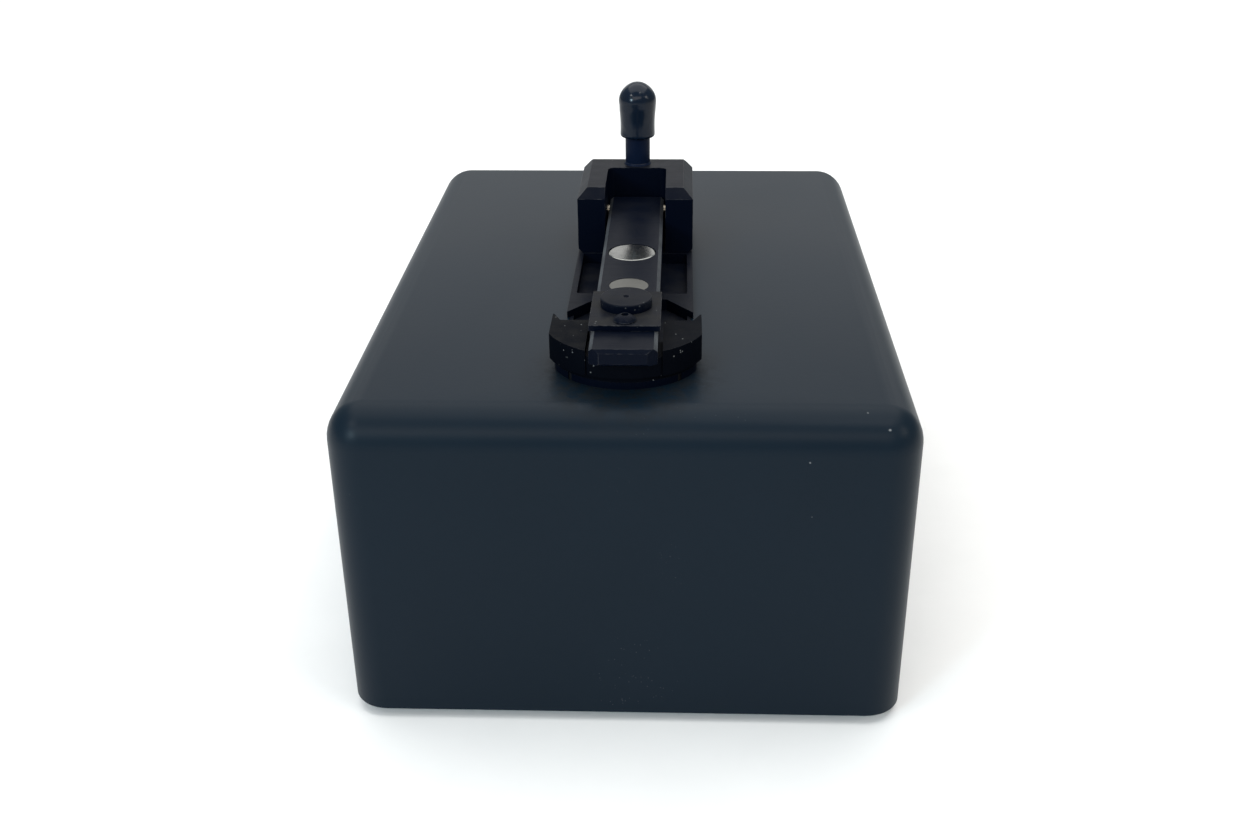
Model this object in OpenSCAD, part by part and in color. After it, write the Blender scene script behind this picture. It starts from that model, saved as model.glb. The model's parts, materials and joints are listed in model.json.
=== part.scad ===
// Benchtop fluorometer for one-drop samples: a moulded cover over a floor plate, a sampling
// head with a hinged arm on top, and a spectrometer, a control board and their leads inside.
// Millimetres, +Z up, front towards -Y. The origin is under the middle of the housing, at the
// level that the feet stand on.

/* [Housing] */
// Width of the cover from side to side
body_w = 140; // [134:1:170]
// Depth of the cover from front to rear
body_d = 200; // [194:1:240]
// Height of the cover from its lower edge to its flat top
body_h = 83.2; // [80:0.1:110]
// Radius of the cover's upright corners and of its top edges
cover_r = 9.5; // [7:0.5:12]
// Wall thickness of the cover
cover_wall = 2.5; // [2:0.1:3.2]
// Height of the feet below the cover
foot_h = 3; // [2:0.5:6]
// Diameter of a foot where it meets the floor plate
foot_dia = 14; // [10:1:18]
// Distance from the cover's sides to the middle of a foot
foot_inset_x = 16; // [15:1:18]
// Distance from the cover's front and rear to the middle of a foot
foot_inset_y = 27; // [26:1:34]
// Thickness of the floor plate
floor_t = 3; // [2.5:0.5:4]

/* [Head base] */
// Distance from the cover's front to the sampling axis
nose_setback = 34.4; // [32:0.1:40]
// Width of the head base and of the hinge block
head_w = 33.3; // [33:0.1:36]
// Height of the head base above the cover
head_base_t = 1.8; // [1.5:0.1:3]
// Width of the open bay beside the arm
bay_w = 30.1; // [28:0.1:30.5]
// Thickness of the bay's floor
bay_floor = 1.2; // [1:0.1:1.6]
// Length of the land between the bay and the notch in front of it
land_l = 4.2; // [3:0.1:6]
// Thickness of the plate inside the cover that the head is screwed to
backing_t = 3; // [2:0.5:4]

/* [Arm] */
// Width of the arm
arm_w = 16; // [14:0.1:16.4]
// Thickness of the arm
arm_t = 8; // [7:0.1:9]
// Height of the arm's underside above the head base
arm_lift = 2.5; // [2.2:0.1:4]
// Distance from the sampling axis back to the hinge pin
arm_reach = 84.6; // [80:0.1:92]
// Distance from the sampling axis forward to the tip of the finger tab
tab_reach = 23.9; // [22.5:0.1:30]
// Thickness of the finger tab
tab_t = 4; // [3:0.1:4.2]
// Bevel along the arm's upper edges
arm_bevel = 0.9; // [0.4:0.1:1.4]
// Diameter of the hinge pin
pin_dia = 3.2; // [2.5:0.1:4]
// Diameter of the polished keeper disc in the arm
keeper_dia = 13; // [10:0.5:13.5]
// Diameter of the plain disc in front of it
disc_dia = 10; // [8:0.5:12]
// Width of the retaining plate on the arm
plate_w = 17.1; // [16.5:0.1:17.4]
// Length of the retaining plate
plate_l = 21.8; // [20:0.1:24]
// Thickness of the retaining plate
plate_t = 1.5; // [1:0.1:2.5]
// Diameter of the bushing's head
bushing_head_dia = 12.6; // [11:0.1:13.4]
// Height of the bushing's head
bushing_head_t = 2.3; // [1.5:0.1:3]
// Diameter of the bushing's shank
bushing_dia = 8; // [6:0.1:9]

/* [Hinge block] */
// Depth of the hinge block from front to rear
block_d = 32; // [31:0.1:36]
// Height of the hinge block
block_h = 19; // [18:0.1:22]
// Thickness of the wall behind the arm
block_wall = 9.9; // [9:0.1:11]
// Width of the gap between the block's ears
ear_gap = 17.4; // [17:0.1:18]
// Bevel on the block's upper front and side edges
block_bevel = 2.75; // [1:0.05:3]
// Diameter of the post on the block
post_dia = 7.4; // [6:0.1:8]
// Height from the block's top to the lower lip of the post's cap
cap_rise = 8.4; // [6:0.1:12]
// Length of the cap
cap_l = 16.3; // [14:0.1:20]
// Diameter of the cap at its lower end
cap_dia = 10.4; // [9.6:0.1:11]
// Diameter of the cap at its bulge
cap_bulge_dia = 11.2; // [10.6:0.1:11.6]

/* [Nose] */
// Radius of the nose's rounded front
nose_r = 20; // [19.6:0.1:21]
// Width of the nose across its flat sides
nose_w = 36.8; // [35.6:0.1:37.6]
// Height of the nose above the cover
nose_h = 9.6; // [9:0.1:11]
// Width of the slot that the arm drops into
slot_w = 18.2; // [18:0.1:18.6]
// Overhang of the nose past the foot under it
nose_overhang = 1.2; // [0.5:0.1:1.5]
// Distance from the sampling axis back to the nose's rear corners
nose_rear = 4.3; // [3:0.1:6]
// Length of the gap that holds the drop
path_gap = 1; // [0.5:0.1:1.5]
// Diameter of a light-emitting diode
led_dia = 3; // [2:0.1:3]
// Angle of the side diodes forward of the crosswise direction
led_angle = 30; // [26:1:34]
// Diameter of the pedestal's tip
pedestal_dia = 5; // [4:0.1:6]

/* [Inside] */
// Room between the spectrometer and the cover's left wall
spec_gap_left = 13; // [12:1:18]
// Room between the spectrometer and the cover's right wall, for the fibre's loop
spec_gap_right = 48; // [46:1:54]
// Depth of the spectrometer from front to rear
spec_d = 80; // [76:1:84]
// Height of the spectrometer body
spec_h = 24; // [22:1:28]
// Wall thickness of the spectrometer body
spec_wall = 4; // [3:0.5:5]
// Thickness of the spectrometer's lid
spec_lid_t = 3; // [2:0.5:4]
// Room between the control board and the cover's side walls
board_gap = 13.5; // [12.5:0.5:16]
// Length of the control board from front to rear
board_l = 70; // [66:1:74]
// Thickness of the circuit boards
board_t = 1.6; // [1:0.1:2]
// Height of the control board above the floor plate
board_lift = 8; // [6:0.5:10]
// Diameter of the receiving fibre's jacket
fibre_dia = 3; // [2:0.1:3.4]
// Radius of the fibre's upper bend
fibre_bend = 16; // [14:0.5:18]
// Diameter of the wiring between the boards
harness_dia = 3.4; // [2.4:0.1:3.6]
// Radius of the wiring's bends
harness_bend = 12; // [9:0.5:13]
// Width of the window in the cover for the rear sockets
window_w = 64; // [56:1:70]
// Height of the window for the rear sockets
window_h = 22; // [20:1:26]

/* [Hidden] */

$fn = 64;
eps = 0.01;        // overshoot of a cut past a face
fit = 0.02;        // radial clearance of a part that is pressed or screwed home
run_fit = 0.05;    // radial clearance of a part that turns
slip = 0.3;        // clearance round a part that drops in

// --- levels and places that several parts share ---
floor_z = foot_h + floor_t;                   // top of the floor plate
top_z = foot_h + body_h;                      // flat top of the cover
head_y = -body_d / 2 + nose_setback;          // sampling axis
inner_w = body_w - 2 * cover_wall;
inner_d = body_d - 2 * cover_wall;

// Sampling head, measured from the sampling axis and from the cover's top
arm_z = head_base_t + arm_lift;               // underside of the arm
arm_top = arm_z + arm_t;
knuckle_r = 5.5;                              // rounded rear end of the arm
pin_z = arm_z + knuckle_r;
pin_setback = 15.4;                           // hinge pin behind the block's front
block_front = arm_reach - pin_setback;
block_rear = block_front + block_d;
block_top = head_base_t + block_h;
pocket_rear = block_rear - block_wall;
post_y = block_rear - block_wall / 2;
bay_rear = block_front - 0.6;                 // a thin land shows in front of the block
bay_l = 31;
bay_front = bay_rear - bay_l;
plug_w = bay_w + 1.8;                         // part of the head base that fills the opening
plug_front = -9.4;
plug_rear = bay_rear + 1.4;
plug_r = 3;
bay_z = -cover_wall + bay_floor;
foot_r = nose_r - nose_overhang;              // rounded front end of the head base
tip_z = head_base_t + 2.2;                    // tip of the pedestal
sample_z = tip_z + path_gap / 2;
backing_z = -cover_wall - backing_t;
backing_w = nose_w + 5.2;
magnet_y = arm_reach - 43.3;                  // keeper disc and the magnet under it
magnet_dia = keeper_dia - 0.3;
magnet_gap = 0.2;                             // left over the magnet when the arm is closed
disc_y = magnet_y - 24.3;
plate_rear = 9;
plate_front = plate_rear - plate_l;
plate_screw_y = -9.4;
relief_h = 2.5;                               // hollow in the arm's underside over the drop
relief_rear = 15;
front_block_rear = -9;                        // rear of the filling in the nose's slot
collar_dia = 9;                               // collar of the pedestal
nose_recess_w = 32.6;                         // recess in the nose's rear, between its corners
nose_back = 0.5;                              // bottom of that recess

post_len = cap_rise + cap_l - 5;
cap_steps = 36;                               // points along the cap's outline
stem_dia = 6;                                 // threaded stem of the pedestal
ferrule_dia = 2.5;
ferrule_drop = 17;                            // lower end of the ferrule below the cover's top

// Diodes in the nose, measured from the sampling axis
led_tip = 10.9;                               // dome of a side diode
led_len = 4;
led_back = led_tip + led_len;
front_led_back = 13.6;                        // rear end of the front diode
lead_at = led_back + 1;                       // a side diode's leads turn down here
front_lead_at = [5.2, -front_led_back - 1];   // and the front diode's here
lead_dia = 1.2;
lead_hole = 2.2;

// Screw places on the head
block_screw_x = (ear_gap + head_w) / 4;
block_screw_y = [block_front + 6, block_rear - 5];
nose_screw_at = [[12.6, -2.2], [12, -12.3]];
led_block_screw_at = [-5.5, -13.5];
block_screw_dia = 4;
nose_screw_dia = 3;

// Inside of the housing
spec_x = -inner_w / 2 + spec_gap_left;        // left side of the spectrometer
spec_size = [inner_w - spec_gap_left - spec_gap_right, spec_d, spec_h];
spec_y = head_y - spec_size[1] / 2 + 15;      // front of the spectrometer
spec_right = spec_x + spec_size[0];
beam_z = floor_z + spec_size[2] / 2;
board_size = [inner_w - 2 * board_gap, board_l];
board_y1 = inner_d / 2 - 3.5;                 // rear edge of the control board
board_y0 = board_y1 - board_size[1];
board_z = floor_z + board_lift;
board_top = board_z + board_t;
led_board_top = backing_z - 7;
led_board_z = led_board_top - board_t;
led_board_w = backing_w - 4;
led_board_y0 = -foot_r - 0.2;
led_board_y1 = 15;
panel_t = 1.6;
panel_y = inner_d / 2 - slip - panel_t;
panel_h = 38;
window_z = floor_z + 4;
usb_x = -16;
jack_x = 16;
socket_y = panel_y + panel_t + 1;             // outer face of the rear sockets
usb_size = [12, 17, 11];
jack_size = [9, 14, 11];
foot_x = body_w / 2 - foot_inset_x;
foot_y = body_d / 2 - foot_inset_y;
boss_x = inner_w / 2 - 7;
boss_y = inner_d / 2 - 9;
boss_h = 24;
boss_r = 4;
cover_screw_dia = 3.5;
small_screw_dia = 3;
tiny_screw_dia = 2;
sensor_y = spec_y + spec_size[1] - 26;        // middle of the line sensor
sensor_l = 0.35 * spec_d;
spec_top = floor_z + spec_size[2];
mirror_r = 60;                                // hollow of the two mirrors
port_dia = 6.4;                               // fibre port in the spectrometer
harness_x = -10;                              // plane of the wiring from the head
harness_y0 = head_y + 8;
harness_y1 = board_y0 + 10;
header_h = 8.4;
lead_x = spec_right + 20;                     // plane of the detector's lead
lead_z = board_top + 2.4;
usb_mouth = [8.5, 9, 7.8];                    // cavity of the square socket
jack_mouth = [6.4, 9];                        // diameter and depth of the round socket
panel_screw_x = 24;

// ---------------------------------------------------------------- shared shapes

module at_head() translate([0, head_y, top_z]) children();

// Rectangle with round corners, centred on the origin
module round_rect(w, d, r) {
    square([w - 2 * r, d], center = true);
    square([w, d - 2 * r], center = true);
    for (x = [-1, 1], y = [-1, 1]) translate([x * (w / 2 - r), y * (d / 2 - r)]) circle(r);
}

// The same between two places along Y
module round_strip(w, y0, y1, r) translate([0, (y0 + y1) / 2]) round_rect(w, y1 - y0, r);

// Button-head or pan-head screw, its shank along -Z and its head above z = 0, with a socket
module button_screw(dia, length, head_dia, head_h, socket) {
    difference() {
        rotate_extrude() intersection() {
            translate([0, head_h - head_dia * 0.62]) circle(head_dia * 0.62);
            square([head_dia / 2, head_h]);
        }
        translate([0, 0, head_h * 0.35]) cylinder(d = socket, h = head_h, $fn = 6);
    }
    translate([0, 0, -length]) cylinder(d = dia, h = length + eps);
}

// Countersunk screw that goes in along +Z, with its flat head at z = 0
module flat_screw(dia, length) {
    head_h = dia * 0.5;
    difference() {
        union() {
            cylinder(d1 = dia * 2, d2 = dia, h = head_h);
            translate([0, 0, head_h]) cylinder(d = dia, h = length - head_h);
        }
        translate([0, 0, -eps]) cylinder(d = dia * 0.6, h = head_h * 0.7, $fn = 6);
    }
}

// The hole that takes it
module flat_screw_hole(dia, length) {
    head_h = dia * 0.5;
    translate([0, 0, -eps]) cylinder(d1 = (dia + fit) * 2 + 2 * eps, d2 = dia + 2 * fit,
        h = head_h + 2 * eps);
    cylinder(d = dia + 2 * fit, h = length);
}

// Cylinder-head screw that goes in along +Z, its head below z = 0
module cap_screw(dia, length) {
    difference() {
        translate([0, 0, -dia]) cylinder(d = dia * 1.75, h = dia);
        translate([0, 0, -dia - eps]) cylinder(d = dia * 0.85, h = dia * 0.6, $fn = 6);
    }
    translate([0, 0, -eps]) cylinder(d = dia, h = length + eps);
}

// Quarter bend of a round lead: starts at the origin along -Z and ends along +X
module quarter_bend(dia, r) translate([r, 0, 0]) rotate([90, 0, 0]) rotate(180)
    rotate_extrude(angle = 90) translate([r, 0]) circle(d = dia);

// ---------------------------------------------------------------- housing

// Outline of the cover from the middle of a corner outwards, with its top edge rounded
module cover_outline(r, rise) {
    square([r, rise]);
    intersection() {
        translate([0, rise]) circle(r, $fn = 96);
        translate([0, rise]) square(r + 1);
    }
}

// Section through the cover's wall and top edge
module wall_section() {
    rise = body_h - cover_r;
    difference() {
        cover_outline(cover_r, rise);
        translate([0, -1]) cover_outline(cover_r - cover_wall, rise + 1);
    }
}

module wall_run(length) rotate([90, 0, 90]) linear_extrude(length, center = true)
    wall_section();

module cover_shell() {
    mid_w = body_w - 2 * cover_r;
    mid_d = body_d - 2 * cover_r;
    for (s = [0, 1]) rotate(180 * s) {
        translate([0, mid_d / 2, 0]) wall_run(mid_w);
        rotate(-90) translate([0, mid_w / 2, 0]) wall_run(mid_d);
        translate([mid_w / 2, mid_d / 2, 0]) rotate_extrude(angle = 90, $fn = 96)
            wall_section();
        translate([-mid_w / 2, mid_d / 2, 0]) rotate(90)
            rotate_extrude(angle = 90, $fn = 96) wall_section();
    }
    translate([-mid_w / 2, -mid_d / 2, body_h - cover_wall]) cube([mid_w, mid_d, cover_wall]);
}

// Screw bosses in the cover's corners, webbed to both walls
module cover_bosses() {
    reach_x = inner_w / 2 - boss_x + eps;
    reach_y = inner_d / 2 - boss_y + eps;
    for (x = [0, 1], y = [0, 1]) mirror([x, 0, 0]) mirror([0, y, 0])
        translate([boss_x, boss_y, floor_z]) {
            cylinder(r = boss_r, h = boss_h);
            translate([0, -1, 0]) cube([reach_x, 2, boss_h]);
            translate([-1, 0, 0]) cube([2, reach_y, boss_h]);
        }
}

module cover() color([0.27, 0.29, 0.31]) difference() {
    union() {
        translate([0, 0, foot_h]) cover_shell();
        cover_bosses();
    }
    for (x = [-1, 1], y = [-1, 1]) translate([x * boss_x, y * boss_y, floor_z - eps])
        cylinder(d = cover_screw_dia + 2 * fit, h = 13);
    translate([0, body_d / 2, window_z + window_h / 2]) rotate([90, 0, 0])
        linear_extrude(3 * cover_wall, center = true) round_rect(window_w, window_h, 2);
    at_head() {
        translate([0, 0, -cover_wall - 1]) linear_extrude(cover_wall + 2)
            round_strip(plug_w + slip, plug_front - slip / 2, plug_rear + slip / 2, plug_r);
        head_screw_holes(-cover_wall - 1, 2 + cover_wall, 0.2);
        led_lead_holes(-cover_wall - 1, 2 + cover_wall);
    }
}

// Clearance holes for the screws that clamp the head
module head_screw_holes(z, h, gap) translate([0, 0, z]) {
    for (s = [-1, 1], y = block_screw_y) translate([s * block_screw_x, y, 0])
        cylinder(d = block_screw_dia + 2 * gap, h = h);
    for (s = [-1, 1], p = nose_screw_at) translate([s * p[0], p[1], 0])
        cylinder(d = nose_screw_dia + 2 * gap, h = h);
    translate(led_block_screw_at) cylinder(d = nose_screw_dia + 2 * gap, h = h);
}

// Places of the control board's four corners holes
module board_corners() for (x = [-1, 1], y = [board_y0 + 5, board_y1 - 9])
    translate([x * (board_size[0] / 2 - 5), y, 0]) children();

// Places of the screws that hold the spectrometer down
module spec_feet() for (x = [spec_x + 8, spec_right - 8],
    y = [spec_y + 8, spec_y + spec_size[1] - 8]) translate([x, y, 0]) children();

module floor_plate() color([0.62, 0.63, 0.65]) difference() {
    translate([0, 0, foot_h]) linear_extrude(floor_t)
        round_rect(inner_w - 2 * slip, inner_d - 2 * slip, cover_r - cover_wall - slip);
    for (x = [-1, 1], y = [-1, 1]) translate([x * boss_x, y * boss_y, foot_h])
        flat_screw_hole(cover_screw_dia, floor_t + 1);
    spec_feet() translate([0, 0, foot_h]) flat_screw_hole(small_screw_dia, floor_t + 1);
    board_corners() translate([0, 0, foot_h - 1])
        cylinder(d = small_screw_dia + 2 * fit, h = floor_t + 2);
    for (x = [-1, 1]) translate([x * panel_screw_x, panel_y - 6, foot_h])
        flat_screw_hole(small_screw_dia, floor_t + 1);
}

module rubber_foot(x, y) color([0.06, 0.06, 0.07]) translate([x * foot_x, y * foot_y, 0])
    cylinder(d1 = foot_dia - 2, d2 = foot_dia, h = foot_h);

module cover_screws() color([0.5, 0.5, 0.52])
    for (x = [-1, 1], y = [-1, 1]) translate([x * boss_x, y * boss_y, foot_h])
        flat_screw(cover_screw_dia, floor_t + 11);

// Upright plate behind the cover's window, on a foot that is screwed to the floor plate
module rear_panel() color([0.2, 0.21, 0.22]) difference() {
    union() {
        translate([-window_w / 2 - 5, panel_y, floor_z])
            cube([window_w + 10, panel_t, panel_h]);
        translate([-window_w / 2 - 5, panel_y - 12, floor_z]) cube([window_w + 10, 12, 2]);
    }
    translate([usb_x, panel_y - 1, board_top]) socket_hole(usb_size);
    translate([jack_x, panel_y - 1, board_top]) socket_hole(jack_size);
    for (x = [-1, 1]) translate([x * panel_screw_x, panel_y - 6, floor_z - 1])
        cylinder(d = small_screw_dia + 2 * fit, h = 4);
}

module socket_hole(size) translate([-size[0] / 2 - slip, 0, -slip])
    cube([size[0] + 2 * slip, panel_t + 2, size[2] + 2 * slip]);

module rear_panel_screws() color([0.7, 0.7, 0.72]) for (x = [-1, 1])
    translate([x * panel_screw_x, panel_y - 6, foot_h]) flat_screw(small_screw_dia, floor_t + 2);

// ---------------------------------------------------------------- control board

module control_board() color([0.05, 0.3, 0.16]) difference() {
    translate([-board_size[0] / 2, board_y0, board_z])
        cube([board_size[0], board_size[1], board_t]);
    board_corners() translate([0, 0, board_z - 1])
        cylinder(d = small_screw_dia + 2 * fit, h = board_t + 2);
}

module board_standoffs() color([0.8, 0.68, 0.35]) board_corners() {
    difference() {
        translate([0, 0, floor_z]) cylinder(d = 6, h = board_lift, $fn = 6);
        translate([0, 0, board_z - 5]) cylinder(d = small_screw_dia + 2 * fit, h = 6);
    }
    translate([0, 0, foot_h + 0.4]) cylinder(d = small_screw_dia, h = floor_t - 0.4 + eps);
}

module board_screws() color([0.75, 0.75, 0.77]) board_corners() translate([0, 0, board_top])
    button_screw(small_screw_dia, board_t + 4, 5.5, 1.9, 2);

// Flat chip with legs along two sides, standing on z = 0
module chip(w, d, pitch) {
    translate([-w / 2, -d / 2, 0.15]) cube([w, d, 1.6]);
    legs = floor((w - 1) / pitch);
    for (i = [0:legs - 1], s = [-1, 1])
        translate([(i - (legs - 1) / 2) * pitch - 0.25, s * (d / 2 + 0.45) - 0.55, 0])
            cube([0.5, 1.1, 0.5]);
}

module board_chips() color([0.08, 0.08, 0.09]) translate([0, 0, board_top]) {
    row_y = board_y0 + 0.35 * board_l;
    side_x = 0.4 * board_size[0];
    translate([usb_x, row_y, 0]) chip(0.2 * board_l, 0.2 * board_l, 1.6);
    translate([jack_x, row_y, 0]) chip(0.26 * board_l, 0.12 * board_l, 1.8);
    translate([side_x, board_y0 + 0.57 * board_l, 0]) chip(0.14 * board_l, 0.09 * board_l, 1.8);
    for (y = [0.48, 0.66] * board_l) translate([-side_x, board_y0 + y, 0])
        cylinder(d = 0.115 * board_l, h = 0.16 * board_l);
}

module board_headers() color([0.85, 0.83, 0.76]) {
    translate([harness_x - 5, harness_y1 - 3, board_top]) cube([10, 6, header_h]);
    translate([lead_x - 5, board_y0 + 4, board_top]) cube([10, 6, 4.8]);
}

// Square socket with its mouth to the rear
module usb_shell() color([0.72, 0.73, 0.75])
    translate([usb_x, socket_y - usb_size[1], board_top]) difference() {
        translate([-usb_size[0] / 2, 0, 0]) cube(usb_size);
        translate([-usb_mouth[0] / 2, usb_size[1] - usb_mouth[1], 1.6])
            cube([usb_mouth[0], usb_mouth[1] + 1, usb_mouth[2]]);
    }

module usb_tongue() color([0.92, 0.92, 0.9])
    translate([usb_x - 2.8, socket_y - usb_mouth[1], board_top + 3.9])
        cube([5.6, usb_mouth[1] - 1, 3.2]);

module power_jack() color([0.07, 0.07, 0.08])
    translate([jack_x, socket_y - jack_size[1], board_top]) difference() {
        translate([-jack_size[0] / 2, 0, 0]) cube(jack_size);
        translate([0, jack_size[1] + eps, jack_size[2] / 2]) rotate([90, 0, 0])
            cylinder(d = jack_mouth[0], h = jack_mouth[1] + eps);
    }

module power_jack_pin() color([0.75, 0.75, 0.77])
    translate([jack_x, socket_y - jack_mouth[1], board_top + jack_size[2] / 2])
        rotate([-90, 0, 0]) cylinder(d = 2, h = jack_mouth[1] - 1);

// ---------------------------------------------------------------- spectrometer

module spec_lid_places() for (x = [spec_x + 3, (spec_x + spec_right) / 2, spec_right - 3],
    y = [spec_y + 3, spec_y + spec_size[1] - 3]) translate([x, y, 0]) children();

module spectrometer_body() color([0.1, 0.1, 0.11]) difference() {
    translate([spec_x, spec_y, floor_z]) cube(spec_size);
    translate([spec_x + spec_wall, spec_y + spec_wall, floor_z + spec_wall])
        difference() {
            cube([spec_size[0] - 2 * spec_wall, spec_size[1] - 2 * spec_wall, spec_size[2]]);
            for (x = [0, 1], y = [0, 1])
                translate([x * (spec_size[0] - 2 * spec_wall), y * (spec_size[1] - 2 * spec_wall),
                    -1]) cylinder(r = 8, h = spec_size[2] + 2);
        }
    // light enters through the right wall and leaves to the sensor through the same wall
    translate([spec_right - spec_wall - 1, head_y, beam_z]) rotate([0, 90, 0])
        cylinder(d = port_dia + 2 * fit, h = spec_wall + 2);
    translate([spec_right - spec_wall - 1, sensor_y - sensor_l / 2 - 1, beam_z - 3])
        cube([spec_wall + 2, sensor_l + 2, 6]);
    spec_feet() translate([0, 0, floor_z - 1])
        cylinder(d = small_screw_dia + 2 * fit, h = 8);
    spec_lid_places() translate([0, 0, floor_z + spec_size[2] - 6])
        cylinder(d = tiny_screw_dia + 2 * fit, h = 7);
}

module spectrometer_lid() color([0.12, 0.12, 0.13]) difference() {
    translate([spec_x, spec_y, spec_top]) cube([spec_size[0], spec_size[1], spec_lid_t]);
    spec_lid_places() translate([0, 0, spec_top - 1])
        cylinder(d = tiny_screw_dia + 2 * fit, h = spec_lid_t + 2);
}

module spectrometer_lid_screws() color([0.7, 0.7, 0.72]) spec_lid_places()
    translate([0, 0, spec_top + spec_lid_t])
        button_screw(tiny_screw_dia, spec_lid_t + 4, 3.8, 1.3, 1.4);

module spectrometer_screws() color([0.6, 0.6, 0.62]) spec_feet()
    translate([0, 0, foot_h]) flat_screw(small_screw_dia, floor_t + 6);

// Concave mirror on a block, its hollow face towards +X
module mirror_block(y, turn) translate([spec_x + spec_wall + 9, y, floor_z + spec_wall])
    rotate(turn) difference() {
        translate([-3, -8, 0]) cube([6, 16, 17]);
        translate([mirror_r + 2, 0, beam_z - floor_z - spec_wall]) sphere(mirror_r, $fn = 128);
    }

module collimating_mirror() color([0.8, 0.82, 0.85]) mirror_block(head_y + 3, 8);

module focusing_mirror() color([0.8, 0.82, 0.85]) mirror_block(sensor_y, -8);

// Ruled plate on a round turntable
module diffraction_grating() color([0.55, 0.6, 0.7])
    translate([spec_right - spec_wall - 13, (head_y + sensor_y) / 2, floor_z + spec_wall]) {
        cylinder(d = 14, h = 3);
        rotate(20) difference() {
            translate([-2.5, -6, 3 - eps]) cube([5, 12, 12]);
            for (i = [-4:4]) translate([-2.5, i * 1.2 - 0.15, 4]) cube([0.3, 0.3, 12]);
        }
    }

module detector_board() color([0.05, 0.3, 0.16])
    translate([spec_right + 2, sensor_y - sensor_l / 2 - 6, floor_z + 1])
        cube([board_t, sensor_l + 12, spec_h - 2]);

// Long sensor in a flat package, in the wall's opening
module line_sensor() color([0.15, 0.15, 0.17]) {
    translate([spec_right - 2, sensor_y - sensor_l / 2, beam_z - 2.6]) cube([4, sensor_l, 5.2]);
    translate([spec_right + 2 + board_t, sensor_y - 5, beam_z - 3]) cube([5, 10, 6]);
}

module detector_lead() color([0.25, 0.25, 0.27]) {
    x0 = spec_right + 2 + board_t + 5;
    r = 8;
    z = lead_z;
    y1 = board_y0 + 4;
    translate([x0, sensor_y, z]) rotate([0, 90, 0]) cylinder(d = harness_dia, h = lead_x - r - x0);
    translate([lead_x - r, sensor_y + r, z]) rotate(-90) rotate_extrude(angle = 90)
        translate([r, 0]) circle(d = harness_dia);
    translate([lead_x, sensor_y + r, z]) rotate([-90, 0, 0])
        cylinder(d = harness_dia, h = y1 - sensor_y - r);
}

module fibre_socket() color([0.75, 0.75, 0.77]) difference() {
    translate([spec_right, head_y, beam_z]) rotate([0, 90, 0]) {
        translate([0, 0, -spec_wall]) cylinder(d = port_dia, h = spec_wall + 1);
        cylinder(d = 11, h = 2.5, $fn = 6);
        cylinder(d = port_dia, h = 10);
    }
    translate([spec_right - spec_wall - 1, head_y, beam_z]) rotate([0, 90, 0])
        cylinder(d = 3.2, h = spec_wall + 12);
}

module fibre_nut() color([0.7, 0.71, 0.73]) difference() {
    translate([spec_right + 4, head_y, beam_z]) rotate([0, 90, 0]) {
        cylinder(d = 9, h = 8, $fn = 6);
        cylinder(d = 7.6, h = 12);
    }
    translate([spec_right + 3, head_y, beam_z]) rotate([0, 90, 0])
        cylinder(d = port_dia + 2 * fit, h = 7.2);
    translate([spec_right + 3, head_y, beam_z]) rotate([0, 90, 0])
        cylinder(d = fibre_dia + 2 * fit, h = 14);
}

// Jacketed fibre from the pedestal, over one bend and round a half turn into its nut
module receiving_fibre() color([0.1, 0.1, 0.6]) {
    z0 = top_z - ferrule_drop;
    z1 = z0 - 3;
    z2 = z1 - fibre_bend;
    turn = (z2 - beam_z) / 2;
    x1 = spec_right + 22;
    translate([0, head_y, z1]) cylinder(d = fibre_dia, h = z0 - z1);
    translate([0, head_y, z1]) quarter_bend(fibre_dia, fibre_bend);
    translate([fibre_bend, head_y, z2]) rotate([0, 90, 0])
        cylinder(d = fibre_dia, h = x1 - fibre_bend);
    translate([x1, head_y, beam_z + turn]) rotate([90, 0, 0]) rotate(-90)
        rotate_extrude(angle = 180) translate([turn, 0]) circle(d = fibre_dia);
    translate([spec_right + 10.4, head_y, beam_z]) rotate([0, 90, 0])
        cylinder(d = fibre_dia, h = x1 - spec_right - 10.4);
}

// ---------------------------------------------------------------- head, fixed parts

module backing_plate() color([0.55, 0.56, 0.58]) at_head() difference() {
    translate([0, 0, backing_z]) linear_extrude(backing_t)
        round_strip(backing_w, -foot_r - 0.2, block_rear + 1, 3);
    head_screw_holes(backing_z - 1, backing_t + 2, 0.2);
    translate([0, 0, backing_z - 1]) cylinder(d = stem_dia + 2 * fit, h = backing_t + 2);
    led_lead_holes(backing_z - 1, backing_t + 2);
    led_board_places() translate([0, 0, backing_z - 1])
        cylinder(d = tiny_screw_dia + 2 * fit, h = backing_t + 2);
}

// Outline of the head base where it lies on the cover
module head_base_outline() {
    translate([-head_w / 2, 23.7]) square([head_w, block_rear - 23.7]);
    intersection() {
        circle(foot_r, $fn = 96);
        translate([-nose_w / 2 + nose_overhang, -foot_r])
            square([nose_w - 2 * nose_overhang, foot_r + nose_rear - 1]);
    }
    translate([-bay_w / 2, 0]) square([bay_w, 24]);
}

// Notch in front of the bay, wider towards the nose
module notch_outline() {
    y0 = bay_front - land_l;
    half = bay_w / 2;
    polygon([[-9.5, y0], [9.5, y0], [head_w / 2 + 1, 23], [head_w / 2 + 1, nose_rear - 1],
        [half, nose_rear - 1], [half, 2.2], [-half, 2.2], [-half, nose_rear - 1],
        [-head_w / 2 - 1, nose_rear - 1], [-head_w / 2 - 1, 23]]);
}

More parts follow.
